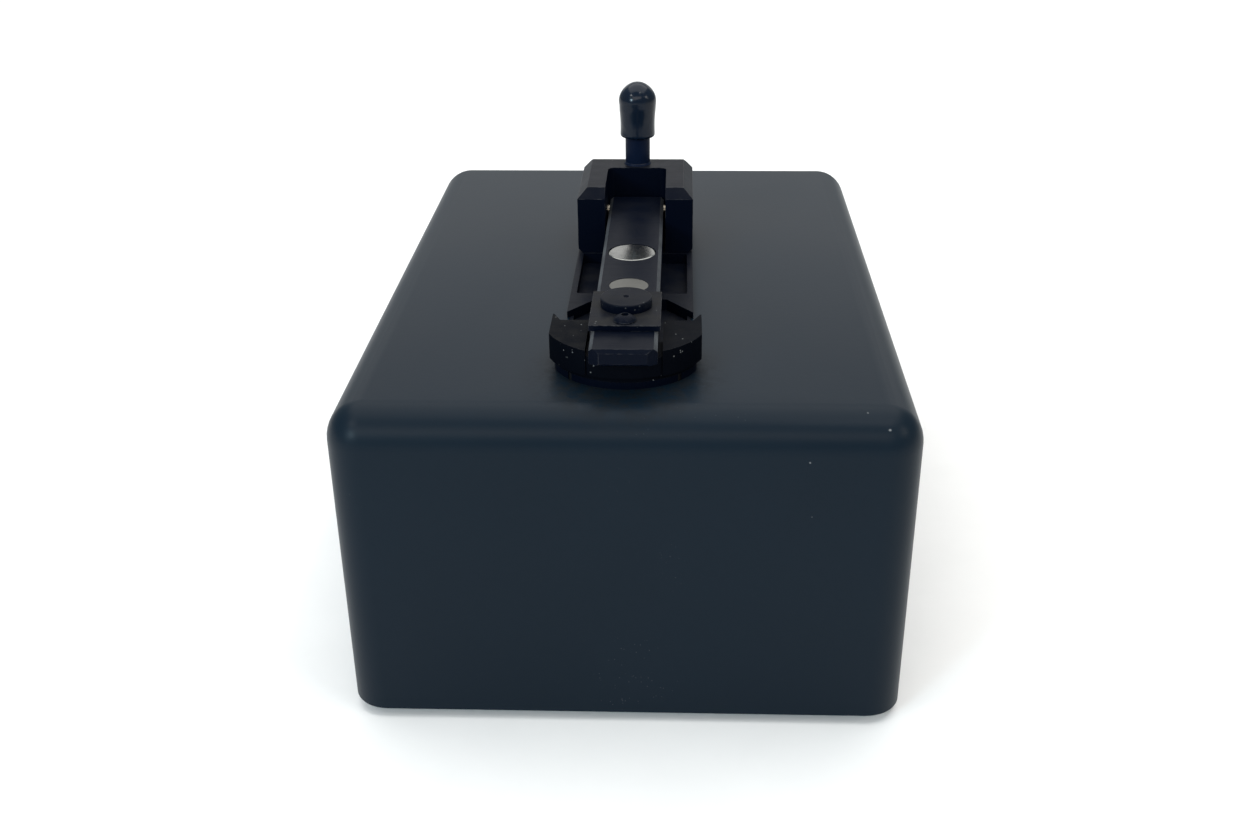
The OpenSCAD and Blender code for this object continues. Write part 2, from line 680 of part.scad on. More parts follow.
module head_base() color([0.06, 0.06, 0.07]) at_head() difference() {
    union() {
        linear_extrude(head_base_t) head_base_outline();
        translate([0, 0, -cover_wall]) linear_extrude(cover_wall + eps)
            round_strip(plug_w, plug_front, plug_rear, plug_r);
    }
    translate([0, 0, bay_z]) linear_extrude(10) round_strip(bay_w, bay_front, bay_rear, 0.8);
    translate([0, 0, bay_z]) linear_extrude(10) intersection() {
        notch_outline();
        translate([-bay_w / 2, 0]) square([bay_w, 60]);
    }
    linear_extrude(10) notch_outline();
    translate([0, magnet_y, bay_z]) cylinder(d = magnet_dia + 2 * fit, h = 10);
    head_screw_holes(-cover_wall - 1, cover_wall + head_base_t + 2, 0.2);
    translate([0, 0, -cover_wall - 1]) cylinder(d = stem_dia + 2 * fit, h = 10);
    led_lead_holes(-cover_wall - 1, cover_wall + head_base_t + 2);
}

module block_screws() color([0.3, 0.3, 0.32]) at_head()
    for (s = [-1, 1], y = block_screw_y) translate([s * block_screw_x, y, backing_z])
        cap_screw(block_screw_dia, backing_t + cover_wall + head_base_t + 7);

module nose_screws() color([0.3, 0.3, 0.32]) at_head() {
    for (s = [-1, 1], p = nose_screw_at) translate([s * p[0], p[1], backing_z])
        cap_screw(nose_screw_dia, backing_t + cover_wall + head_base_t + 5);
    translate([led_block_screw_at[0], led_block_screw_at[1], backing_z])
        cap_screw(nose_screw_dia, backing_t + cover_wall + head_base_t + 4);
}

// Section of the hinge block across the arm, bevelled above and below
module block_section() {
    half = head_w / 2;
    low = 1.3;
    polygon([[-half + low, 0], [half - low, 0], [half, low], [half, block_h - block_bevel],
        [half - block_bevel, block_h], [-half + block_bevel, block_h],
        [-half, block_h - block_bevel], [-half, low]]);
}

// The same along the arm, bevelled at the upper front edge
module block_side() polygon([[block_front, 0], [block_rear, 0],
    [block_rear, block_h - 0.8], [block_rear - 0.8, block_h],
    [block_front + block_bevel, block_h], [block_front, block_h - block_bevel]]);

module hinge_block() color([0.05, 0.05, 0.06]) at_head() translate([0, 0, head_base_t])
    difference() {
        intersection() {
            translate([0, block_rear, 0]) rotate([90, 0, 0]) linear_extrude(block_d)
                block_section();
            rotate([90, 0, 90]) linear_extrude(head_w + 2, center = true) block_side();
        }
        translate([0, 0, -1]) linear_extrude(block_h + 2)
            round_strip(ear_gap, block_front - 10, pocket_rear, 2);
        translate([-head_w / 2 - 1, arm_reach, pin_z - head_base_t]) rotate([0, 90, 0])
            cylinder(d = pin_dia + 2 * fit, h = head_w + 2);
        for (s = [-1, 1], y = block_screw_y) translate([s * block_screw_x, y, -1])
            cylinder(d = block_screw_dia + 2 * fit, h = 9);
        translate([0, post_y, block_h - 8]) cylinder(d = 4 + 2 * fit, h = 9);
    }

module hinge_pin() color([0.78, 0.78, 0.8]) at_head()
    translate([-head_w / 2 + 0.4, arm_reach, pin_z]) rotate([0, 90, 0])
        cylinder(d = pin_dia, h = head_w - 0.8);

module stop_post() color([0.05, 0.06, 0.07]) at_head() translate([0, post_y, block_top]) {
    cylinder(d = post_dia, h = post_len);
    cylinder(d1 = post_dia + 0.8, d2 = post_dia, h = 0.6);
    translate([0, 0, -7.6]) cylinder(d = 4, h = 7.6 + eps);
}

// Half outline of the cap: a rounded lip, a slight waist, a bulge and a blunt point
function cap_radius(t) = let (
    low = cap_dia / 2, wide = cap_bulge_dia / 2,
    dome = wide / cap_l, lip = 1.6 / cap_l)
    t < lip ? low - 1.4 * pow(1 - t / lip, 2.2) :
    t < 1 - dome ? low + (wide - low) * pow(sin(90 * (t - lip) / (1 - dome - lip)), 3) :
    wide * pow(1 - pow((t - 1 + dome) / dome, 1.9), 0.58);

module stop_cap() color([0.03, 0.04, 0.05]) at_head()
    translate([0, post_y, block_top + cap_rise]) difference() {
        rotate_extrude() polygon(concat([[0, 0]],
            [for (i = [0:cap_steps]) [max(cap_radius(i / cap_steps), 0),
                cap_l * i / cap_steps]]));
        translate([0, 0, -1]) cylinder(d = post_dia + 2 * fit, h = post_len - cap_rise + 1 + fit);
    }

module base_magnet() color([0.75, 0.76, 0.78]) at_head() translate([0, magnet_y, bay_z])
    difference() {
        cylinder(d = magnet_dia, h = arm_z - bay_z - magnet_gap);
        translate([0, 0, arm_z - bay_z - magnet_gap - 0.6]) cylinder(d = 4, h = 1);
    }

// Outline of the nose: a round front between flat sides, slotted for the arm, with a recess
// in its rear that leaves the two rear corners standing
module nose_outline() difference() {
    intersection() {
        circle(nose_r, $fn = 96);
        translate([-nose_w / 2, -nose_r]) square([nose_w, nose_r + nose_rear]);
    }
    translate([-slot_w / 2, -nose_r - 1]) square([slot_w, 2 * nose_r + 2]);
    polygon([[-nose_recess_w / 2, nose_back], [nose_recess_w / 2, nose_back],
        [nose_w / 2 - 0.3, nose_rear + 0.1], [-nose_w / 2 + 0.3, nose_rear + 0.1]]);
}

module nose() color([0.07, 0.07, 0.08]) at_head() difference() {
    union() {
        translate([0, 0, head_base_t]) linear_extrude(nose_h - head_base_t) nose_outline();
        translate([-slot_w / 2 - eps, front_block_rear, head_base_t])
            cube([slot_w + 2 * eps, nose_back - front_block_rear, 1]);
    }
    translate([0, 0, head_base_t - 1]) cylinder(d = collar_dia + slip, h = 3);
    for (s = [-1, 1], p = nose_screw_at) translate([s * p[0], p[1], head_base_t - 1])
        cylinder(d = nose_screw_dia + 2 * fit, h = 6.5);
    for (side = [0, 1]) mirror([side, 0, 0]) led_bore();
}

// Bore for a side diode, with a hole down for its leads
module led_bore() {
    translate([0, 0, sample_z]) rotate(-led_angle) rotate([0, 90, 0])
        cylinder(d = led_dia + 2 * fit, h = led_back + 2.2);
    rotate(-led_angle) translate([lead_at, 0, head_base_t - 1])
        cylinder(d = lead_hole, h = sample_z - head_base_t + 1);
}

module led_lead_holes(z, h) {
    for (side = [0, 1]) mirror([side, 0, 0]) rotate(-led_angle)
        translate([lead_at, 0, z]) cylinder(d = lead_hole, h = h);
    translate([front_lead_at[0], front_lead_at[1], z]) cylinder(d = lead_hole, h = h);
}

// Filling in the front of the slot, under the arm's tab, that holds the front diode
module front_led_block() color([0.05, 0.05, 0.06]) at_head() difference() {
    translate([0, 0, head_base_t]) linear_extrude(arm_top - tab_t - slip - head_base_t)
        intersection() {
            circle(nose_r - 0.4, $fn = 96);
            translate([-slot_w / 2 + fit, -nose_r])
                square([slot_w - 2 * fit, nose_r + front_block_rear - fit]);
        }
    translate([0, 0, sample_z]) rotate([90, 0, 0])
        cylinder(d = led_dia + 2 * fit, h = front_led_back + 2.2);
    translate([front_lead_at[0], front_lead_at[1], head_base_t - 1])
        cylinder(d = lead_hole, h = sample_z - head_base_t + 1);
    translate([-1, front_lead_at[1] - lead_hole / 2, sample_z - lead_hole / 2])
        cube([front_lead_at[0] + 1 + lead_hole / 2, lead_hole, lead_hole]);
    translate([led_block_screw_at[0], led_block_screw_at[1], head_base_t - 1])
        cylinder(d = nose_screw_dia + 2 * fit, h = 6.2);
}

// Domed diode along +X, its tip at x = 0
module diode() rotate([0, 90, 0]) {
    r = led_dia / 2;
    translate([0, 0, r]) cylinder(r = r, h = led_len - r);
    intersection() {
        translate([0, 0, r]) sphere(r);
        cylinder(r = r, h = r + eps);
    }
}

module uv_led() color([0.6, 0.5, 0.85]) at_head() translate([0, 0, sample_z])
    mirror([1, 0, 0]) rotate(-led_angle) translate([led_tip, 0, 0]) diode();

module blue_led() color([0.3, 0.45, 0.9]) at_head() translate([0, 0, sample_z])
    rotate(-led_angle) translate([led_tip, 0, 0]) diode();

module white_led() color([0.95, 0.95, 0.9]) at_head() translate([0, 0, sample_z])
    rotate(-90) translate([front_led_back - led_len, 0, 0]) diode();

// Leads of the three diodes, down to the small board
module led_leads() color([0.75, 0.76, 0.78]) at_head() {
    drop = sample_z - led_board_top;
    for (side = [0, 1]) mirror([side, 0, 0]) rotate(-led_angle) {
        translate([led_back, 0, sample_z]) rotate([0, 90, 0]) cylinder(d = lead_dia, h = 1);
        translate([lead_at, 0, led_board_top]) cylinder(d = lead_dia, h = drop);
        translate([lead_at, 0, sample_z]) sphere(d = lead_dia, $fn = 24);
    }
    translate([0, -front_led_back, sample_z]) rotate([90, 0, 0]) cylinder(d = lead_dia, h = 1);
    translate([0, front_lead_at[1], sample_z]) rotate([0, 90, 0])
        cylinder(d = lead_dia, h = front_lead_at[0]);
    translate([front_lead_at[0], front_lead_at[1], led_board_top])
        cylinder(d = lead_dia, h = drop);
    translate([front_lead_at[0], front_lead_at[1], sample_z]) sphere(d = lead_dia, $fn = 24);
}

module led_board_places() for (x = [-1, 1], y = [led_board_y0 + 2.8, led_board_y1 - 4])
    translate([x * (led_board_w / 2 - 2.5), y, 0]) children();

module led_board() color([0.05, 0.3, 0.16]) at_head() difference() {
    translate([-led_board_w / 2, led_board_y0, led_board_z])
        cube([led_board_w, led_board_y1 - led_board_y0, board_t]);
    translate([0, 0, led_board_z - 1]) cylinder(d = 12, h = board_t + 2);
    led_board_places() translate([0, 0, led_board_z - 1])
        cylinder(d = tiny_screw_dia + 2 * fit, h = board_t + 2);
}

module led_board_standoffs() color([0.8, 0.68, 0.35]) at_head() led_board_places()
    difference() {
        translate([0, 0, led_board_top]) cylinder(d = 4.4, h = backing_z - led_board_top, $fn = 6);
        translate([0, 0, led_board_top - 1]) cylinder(d = tiny_screw_dia + 2 * fit, h = 12);
    }

module led_board_screws() color([0.75, 0.75, 0.77]) at_head() led_board_places()
    translate([0, 0, led_board_z]) mirror([0, 0, 1])
        button_screw(tiny_screw_dia, board_t + backing_z - led_board_top + 2, 3.8, 1.3, 1.4);

// Wiring from the diodes' board back and down to the control board
module led_harness() color([0.3, 0.3, 0.32]) {
    plug_h = 5;
    z0 = top_z + led_board_z - plug_h;
    z1 = z0 - 4;
    z2 = z1 - harness_bend;
    z3 = z2 - harness_bend;
    z_end = board_top + header_h;
    translate([harness_x - 4, harness_y0 - 3, z0]) cube([8, 6, plug_h]);
    translate([harness_x, harness_y0, z1]) cylinder(d = harness_dia, h = z0 - z1 + eps);
    translate([harness_x, harness_y0, z1]) rotate(90) quarter_bend(harness_dia, harness_bend);
    translate([harness_x, harness_y0 + harness_bend, z2]) rotate([-90, 0, 0])
        cylinder(d = harness_dia, h = harness_y1 - harness_y0 - 2 * harness_bend);
    translate([harness_x, harness_y1, z3]) rotate([0, 0, -90]) rotate([180, 0, 0])
        quarter_bend(harness_dia, harness_bend);
    translate([harness_x, harness_y1, z_end]) cylinder(d = harness_dia, h = z3 - z_end + eps);
}

// Post that carries the fibre's end, with a collar on the head base and a threaded stem
module pedestal() color([0.7, 0.71, 0.73]) at_head() difference() {
    union() {
        cylinder(d = pedestal_dia, h = tip_z);
        translate([0, 0, head_base_t]) cylinder(d = collar_dia, h = 1.2);
        translate([0, 0, backing_z - 5])
            cylinder(d = stem_dia, h = head_base_t - backing_z + 5);
    }
    translate([0, 0, backing_z - 6]) cylinder(d = ferrule_dia + 2 * fit, h = 30);
}

module pedestal_nut() color([0.6, 0.61, 0.63]) at_head() difference() {
    translate([0, 0, backing_z - 4]) cylinder(d = 11, h = 4, $fn = 6);
    translate([0, 0, backing_z - 5]) cylinder(d = stem_dia + 2 * fit, h = 6);
}

module fibre_ferrule() color([0.9, 0.9, 0.88]) at_head() {
    translate([0, 0, -ferrule_drop]) cylinder(d = ferrule_dia, h = tip_z + ferrule_drop);
    translate([0, 0, -ferrule_drop]) cylinder(d = 4, h = ferrule_drop + backing_z - 5 - slip);
}

// ---------------------------------------------------------------- arm

// Side view of the arm: a bar with a round rear end, relieved over the drop and thinned at
// the front to a finger tab
module arm_side() {
    translate([arm_reach, pin_z]) intersection() {
        circle(knuckle_r);
        translate([-knuckle_r, -knuckle_r]) square([2 * knuckle_r, knuckle_r + arm_top - pin_z]);
    }
    polygon([[arm_reach, arm_z], [arm_reach, arm_top], [-tab_reach + 0.8, arm_top],
        [-tab_reach, arm_top - 0.8], [-tab_reach, arm_top - tab_t + 0.5],
        [-tab_reach + 0.5, arm_top - tab_t], [front_block_rear, arm_top - tab_t],
        [front_block_rear, arm_z + relief_h], [relief_rear - relief_h, arm_z + relief_h],
        [relief_rear, arm_z]]);
}

// Section of the arm, bevelled along its upper edges
module arm_section() {
    half = arm_w / 2;
    polygon([[-half, 0], [half, 0], [half, arm_top - arm_bevel], [half - arm_bevel, arm_top],
        [-half + arm_bevel, arm_top], [-half, arm_top - arm_bevel]]);
}

// Plan view of the arm, with the tab's corners cut off
module arm_plan() {
    half = arm_w / 2;
    cut = 2.4;
    polygon([[-half, arm_reach + 10], [-half, -tab_reach + cut * 0.7],
        [-half + cut, -tab_reach - eps], [half - cut, -tab_reach - eps],
        [half, -tab_reach + cut * 0.7], [half, arm_reach + 10]]);
}

module arm() color([0.1, 0.1, 0.12]) at_head() difference() {
    intersection() {
        rotate([90, 0, 90]) linear_extrude(arm_w + 2, center = true) arm_side();
        translate([0, arm_reach + 10, 0]) rotate([90, 0, 0])
            linear_extrude(arm_reach + tab_reach + 12) arm_section();
        linear_extrude(arm_top + 1) arm_plan();
    }
    translate([-arm_w, arm_reach, pin_z]) rotate([0, 90, 0])
        cylinder(d = pin_dia + 2 * run_fit, h = 2 * arm_w);
    translate([0, magnet_y, arm_top - 3]) cylinder(d = keeper_dia + 2 * fit, h = 4);
    translate([0, disc_y, arm_top - 2]) cylinder(d = disc_dia + 2 * fit, h = 4);
    translate([0, 0, arm_z - 1]) cylinder(d = bushing_dia + 2 * fit, h = arm_t + 2);
    translate([0, plate_screw_y, arm_top - 3]) cylinder(d = 3 + 2 * fit, h = 4);
}

// Polished disc with a rounded rim, flush in the arm
module keeper_disc() color([0.85, 0.86, 0.88]) at_head() translate([0, magnet_y, arm_top - 3])
    rotate_extrude() {
        square([keeper_dia / 2 - 0.6, 3]);
        square([keeper_dia / 2, 2.4]);
        intersection() {
            translate([keeper_dia / 2 - 0.6, 2.4]) circle(0.6);
            translate([keeper_dia / 2 - 0.7, 2.3]) square(1);
        }
    }

module front_disc() color([0.8, 0.78, 0.7]) at_head() translate([0, disc_y, arm_top - 2])
    cylinder(d = disc_dia, h = 1.9);

module retaining_plate() color([0.08, 0.08, 0.09]) at_head() difference() {
    translate([0, 0, arm_top]) linear_extrude(plate_t)
        translate([-plate_w / 2, plate_front]) square([plate_w, plate_l]);
    translate([0, 0, arm_top - 1]) cylinder(d = bushing_dia + 2 * fit, h = plate_t + 2);
    translate([0, plate_screw_y, arm_top - 1]) cylinder(d = 3 + 2 * fit, h = plate_t + 2);
}

// Turned bushing whose lower end closes on the drop
module bushing() color([0.1, 0.1, 0.11]) at_head() difference() {
    union() {
        translate([0, 0, tip_z + path_gap])
            cylinder(d = bushing_dia, h = arm_top + plate_t - tip_z - path_gap + eps);
        translate([0, 0, arm_top + plate_t]) rotate_extrude() {
            square([bushing_head_dia / 2, bushing_head_t - 0.4]);
            square([bushing_head_dia / 2 - 0.4, bushing_head_t]);
            translate([bushing_head_dia / 2 - 0.4, bushing_head_t - 0.4]) circle(0.4);
        }
    }
    translate([0, 0, arm_top + plate_t + bushing_head_t - 0.5]) cylinder(d1 = 0.6, d2 = 1.8, h = 0.6);
}

module plate_screw() color([0.12, 0.12, 0.13]) at_head()
    translate([0, plate_screw_y, arm_top + plate_t]) button_screw(3, plate_t + 2.8, 5.6, 1.65, 2);

// ----------------------------------------------------------------

cover();
floor_plate();
rubber_foot(-1, -1);  // foot_front_left
rubber_foot(1, -1);  // foot_front_right
rubber_foot(-1, 1);  // foot_rear_left
rubber_foot(1, 1);  // foot_rear_right
cover_screws();
rear_panel();
rear_panel_screws();
control_board();
board_standoffs();
board_screws();
board_chips();
board_headers();
usb_shell();
usb_tongue();
power_jack();
power_jack_pin();
spectrometer_body();
spectrometer_lid();
spectrometer_lid_screws();
spectrometer_screws();
collimating_mirror();
diffraction_grating();
focusing_mirror();
detector_board();
line_sensor();
detector_lead();
fibre_socket();
fibre_nut();
receiving_fibre();
backing_plate();
head_base();
block_screws();
nose_screws();
hinge_block();
hinge_pin();
stop_post();
stop_cap();
base_magnet();
nose();
front_led_block();
uv_led();
blue_led();
white_led();
led_leads();
led_board();
led_board_standoffs();
led_board_screws();
led_harness();
pedestal();
pedestal_nut();
fibre_ferrule();
arm();
keeper_disc();
front_disc();
retaining_plate();
bushing();
plate_screw();
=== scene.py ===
"""Looks of a benchtop fluorometer for one-drop samples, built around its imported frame."""

import json
import math

import bmesh
import bpy
from mathutils import Matrix, Vector, noise


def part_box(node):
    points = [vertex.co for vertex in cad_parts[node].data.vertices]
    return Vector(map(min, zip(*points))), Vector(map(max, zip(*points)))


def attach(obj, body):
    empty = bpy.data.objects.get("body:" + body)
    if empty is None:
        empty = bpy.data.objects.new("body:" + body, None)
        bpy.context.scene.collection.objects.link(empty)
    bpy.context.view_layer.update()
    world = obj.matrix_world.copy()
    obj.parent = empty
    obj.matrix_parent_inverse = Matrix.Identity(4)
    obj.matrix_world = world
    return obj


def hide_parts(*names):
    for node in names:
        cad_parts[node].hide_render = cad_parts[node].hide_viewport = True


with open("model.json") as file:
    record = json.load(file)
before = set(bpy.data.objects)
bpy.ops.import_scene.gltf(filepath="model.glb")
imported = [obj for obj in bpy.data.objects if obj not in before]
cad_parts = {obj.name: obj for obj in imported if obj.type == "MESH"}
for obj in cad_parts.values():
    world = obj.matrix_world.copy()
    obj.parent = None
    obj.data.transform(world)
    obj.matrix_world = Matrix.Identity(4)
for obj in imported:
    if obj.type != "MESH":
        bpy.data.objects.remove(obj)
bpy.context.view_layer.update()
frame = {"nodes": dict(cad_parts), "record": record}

bl_info = {
    "name": "Benchtop fluorometer",
    "version": (1, 0, 0),
    "blender": (4, 5, 0),
    "location": "3D View > Sidebar > Fluorometer",
    "description": "Finishes and fine parts of a benchtop fluorometer",
    "category": "Object",
}

MM = 0.001
EPSILON = 0.01 * MM      # points closer than this in height count as level
SCREW_SPACING = 8 * MM   # less than the room between any two of the floor's screws
ROUND_SIDES = 72
CAP_RINGS = 44
FOOT_ARC_STEPS = 48
CUTTER_REACH = 1.4       # how far the undercut's ring reaches past the foot, as a share of it
SLANT_LOW, SLANT_HIGH, SLANT_SIDE = 0.5, 0.9, 0.4   # normals of a bevelled face: z, z, x

CRUMB_COLOUR = (0.20, 0.21, 0.21)
RUBBED_METAL = (0.085, 0.085, 0.088)
RUBBED_PLASTIC = (0.070, 0.072, 0.074)
# Painted highlight: colour laid on slanting bevels in place of the light they catch.
BEVEL_PAINTED_HIGHLIGHT = (0.060, 0.066, 0.074)

CAMERA_PLACE = (0.0125, -0.3739, 0.2265)
CAMERA_YAW, CAMERA_PITCH, CAMERA_ROLL = 2.20, -27.11, -0.49   # degrees

HOUSING = "housing"
ARM = "sampling_arm"
NODES = frame["nodes"]
SLOT_OF = {s["node"]: s["material_slot"] for s in frame["record"]["subparts"]}


# ------------------------------------------------------------------ settings

class FinishSettings(bpy.types.PropertyGroup):
    """Colours and finishes of the instrument."""

    cover_colour: bpy.props.FloatVectorProperty(
        name="Cover paint", description="Colour of the painted cover", subtype="COLOR",
        default=(0.0032, 0.0088, 0.0158))
    cover_roughness: bpy.props.FloatProperty(
        name="Cover roughness", description="Roughness of the satin paint", default=0.35,
        min=0.0, max=1.0, subtype="FACTOR")
    metal_colour: bpy.props.FloatVectorProperty(
        name="Anodising", description="Colour of the black anodised parts", subtype="COLOR",
        default=(0.0012, 0.0027, 0.0078))
    dust_colour: bpy.props.FloatVectorProperty(
        name="Dust", description="Colour of the dust on the head", subtype="COLOR",
        default=(0.024, 0.0235, 0.0225))
    dust: bpy.props.FloatProperty(
        name="Dust amount", description="How much dust lies on the faces that look up",
        default=0.42, min=0.0, max=1.0, subtype="FACTOR")
    cap_colour: bpy.props.FloatVectorProperty(
        name="Cap", description="Colour of the soft cap", subtype="COLOR",
        default=(0.0030, 0.0075, 0.0170))


class EdgeSettings(bpy.types.PropertyGroup):
    """Widths of the small rounds that break the edges."""

    machined: bpy.props.FloatProperty(
        name="Machined edge", description="Break on the edges of machined parts",
        default=0.18 * MM, min=0.0, unit="LENGTH")
    fine: bpy.props.FloatProperty(
        name="Fine edge", description="Break on the edges of small turned parts",
        default=0.08 * MM, min=0.0, unit="LENGTH")
    moulded: bpy.props.FloatProperty(
        name="Moulded edge", description="Round on the cover's rims",
        default=0.35 * MM, min=0.0, unit="LENGTH")
    foot: bpy.props.FloatProperty(
        name="Foot edge", description="Round on the lower edge of the feet",
        default=0.8 * MM, min=0.0, unit="LENGTH")


class NoseSettings(bpy.types.PropertyGroup):
    """The step under the rounded nose."""

    radius: bpy.props.FloatProperty(
        name="Radius", description="Radius of the nose's front", default=20 * MM, min=0.0,
        unit="LENGTH")
    step: bpy.props.FloatProperty(
        name="Step", description="Height over which the nose's foot stands back",
        default=1.3 * MM, min=0.0, unit="LENGTH")


class CapSettings(bpy.types.PropertyGroup):
    """Form of the soft cap on the post."""

    lip_share: bpy.props.FloatProperty(
        name="Lip", description="Radius of the lip as a share of the widest one", default=0.93,
        min=0.5, max=1.0, subtype="FACTOR")
    lip_round: bpy.props.FloatProperty(
        name="Lip round", description="Round on the lip's lower edge", default=0.75 * MM,
        min=0.0, unit="LENGTH")
    skirt: bpy.props.FloatProperty(
        name="Skirt", description="Height at which the side starts", default=0.9 * MM, min=0.0,
        unit="LENGTH")
    grip: bpy.props.FloatProperty(
        name="Grip", description="How far the bore's wall sinks into the post",
        default=0.38 * MM, min=0.0, unit="LENGTH")
    waist: bpy.props.FloatProperty(
        name="Waist", description="Depth of the waist over the lip", default=0.12 * MM, min=0.0,
        unit="LENGTH")
    dent: bpy.props.FloatProperty(
        name="Dents", description="Depth of the soft dents in the side", default=0.22 * MM,
        min=0.0, unit="LENGTH")


class ScrewSettings(bpy.types.PropertyGroup):
    """Sizes that the countersunk screws under the floor share."""

    socket_share: bpy.props.FloatProperty(
        name="Socket", description="Size of the hex socket as a share of the thread",
        default=0.6, min=0.3, max=0.9, subtype="FACTOR")
    head_share: bpy.props.FloatProperty(
        name="Head height", description="Height of the head as a share of the thread",
        default=0.5, min=0.3, max=0.8, subtype="FACTOR")


class StageSettings(bpy.types.PropertyGroup):
    """Floor, lights and camera."""

    floor_size: bpy.props.FloatProperty(
        name="Floor", description="Side of the floor", default=9.0, min=1.0, unit="LENGTH")
    overhead: bpy.props.FloatProperty(
        name="Overhead light", description="Power of the light above", default=50.0, min=0.0,
        unit="POWER")
    behind: bpy.props.FloatProperty(
        name="Rear light", description="Power of the low light behind", default=7.9, min=0.0,
        unit="POWER")
    glint: bpy.props.FloatProperty(
        name="Small light", description="Power of the small lamps that glint on the cap",
        default=2.4, min=0.0, unit="POWER")
    side: bpy.props.FloatProperty(
        name="Side light", description="Power of the lights at the sides", default=7.0, min=0.0,
        unit="POWER")
    sky: bpy.props.FloatProperty(
        name="Sky", description="Strength of the even light all round", default=0.34, min=0.0)
    lens: bpy.props.FloatProperty(
        name="Lens", description="Focal length for a 36 mm wide sensor", default=39.0,
        min=10.0, max=200.0)


# ------------------------------------------------------------------ shader maths

class Value:
    """A number socket that Python's operators turn into Math nodes."""

    def __init__(self, finish, socket):
        self.finish = finish
        self.socket = socket

    def maths(self, operation, *others):
        return self.finish.node("ShaderNodeMath", {"operation": operation}, [self, *others])

    def __add__(self, other):
        return self.maths("ADD", other)

    __radd__ = __add__

    def __sub__(self, other):
        return self.maths("SUBTRACT", other)

    def __rsub__(self, other):
        return self.finish.node("ShaderNodeMath", {"operation": "SUBTRACT"}, [other, self])

    def __mul__(self, other):
        return self.maths("MULTIPLY", other)

    __rmul__ = __mul__

    def clamp(self):
        return self.finish.node("ShaderNodeClamp", {}, [self])

    def range(self, low, high, to_low=0.0, to_high=1.0):
        """Maps low..high smoothly to to_low..to_high."""
        return self.finish.node("ShaderNodeMapRange", {"interpolation_type": "SMOOTHSTEP"},
                                [self, low, high, to_low, to_high])


class Finish:
    """A node material under construction."""

    def __init__(self, name):
        self.material = bpy.data.materials.new(name)
        self.material.use_nodes = True
        self.tree = self.material.node_tree
        self.shader = self.tree.nodes["Principled BSDF"]
        self.place = self.node("ShaderNodeTexCoord", {}, [], "Object")

    def node(self, kind, settings, values, output=0):
        """Adds a node, sets it up, gives its inputs values or links, and returns an output."""
        made = self.tree.nodes.new(kind)
        for key, setting in settings.items():
            setattr(made, key, setting)
        pairs = values.items() if isinstance(values, dict) else enumerate(values)
        for key, value in pairs:
            self.give(made.inputs[key], value)
        return Value(self, made.outputs[output])

    def give(self, socket, value):
        if isinstance(value, Value):
            self.tree.links.new(value.socket, socket)
        elif isinstance(value, (tuple, list)) and len(socket.default_value) == 4:
            socket.default_value = (*value[:3], 1.0)
        else:
            socket.default_value = value

    def set(self, **values):
        """Sets the Principled shader's inputs, named with underscores for spaces."""
        for key, value in values.items():
            self.give(self.shader.inputs[key.replace("_", " ")], value)
        return self

    def mapped(self, turn=(0, 0, 0), scale=(1, 1, 1)):
        return self.node("ShaderNodeMapping", {}, {"Vector": self.place, "Rotation": turn,
                                                    "Scale": scale})

    def noise(self, scale, detail=3.0, roughness=0.5, at=None):
        return self.node("ShaderNodeTexNoise", {}, {
            "Vector": at or self.place, "Scale": scale, "Detail": detail,
            "Roughness": roughness}, "Fac")

    def cells(self, scale, at=None):
        return self.node("ShaderNodeTexVoronoi", {}, {
            "Vector": at or self.place, "Scale": scale}, "Distance")

    def attribute(self, name):
        return self.node("ShaderNodeAttribute", {"attribute_name": name}, {}, "Fac")

    def axis(self, letter):
        return self.node("ShaderNodeSeparateXYZ", {}, [self.place], letter)

    def mix(self, factor, first, second):
        """Blends two colours."""
        mixed = self.tree.nodes.new("ShaderNodeMix")
        mixed.data_type = "RGBA"
        for key, value in ((0, factor), (6, first), (7, second)):
            self.give(mixed.inputs[key], value)
        return Value(self, mixed.outputs[2])

    def bump(self, height, distance, strength):
        bump = self.node("ShaderNodeBump", {}, {"Height": height, "Distance": distance,
                                                "Strength": strength}, "Normal")
        self.give(self.shader.inputs["Normal"], bump)
        return self

    def distance(self, point):
        return self.node("ShaderNodeVectorMath", {"operation": "DISTANCE"},
                         [self.place, tuple(point)], "Value")


def finish_settings():
    return bpy.context.scene.fluorometer_finish


# ------------------------------------------------------------------ finishes

# Chips in the paint: place and size in mm.
NICKS = ((56.1, -94.1, 85.5, 0.55), (60.9, -97.6, 83.0, 0.65), (43.0, -100.0, 75.6, 0.6),
         (44.2, -100.0, 61.2, 0.5), (58.5, -57.5, 86.2, 0.35), (-30.4, -65.2, 86.2, 0.4))


def nicks(finish):
    """Mask of the few small chips in the paint."""
    total = None
    wobble = finish.noise(1500, 2) * 0.0005
    for x, y, z, size in NICKS:
        away = finish.distance((x * MM, y * MM, z * MM))
        chip = (away + wobble).range(size * 0.4 * MM, size * MM, 0.5, 0.0)
        total = chip if total is None else total + chip
    return total


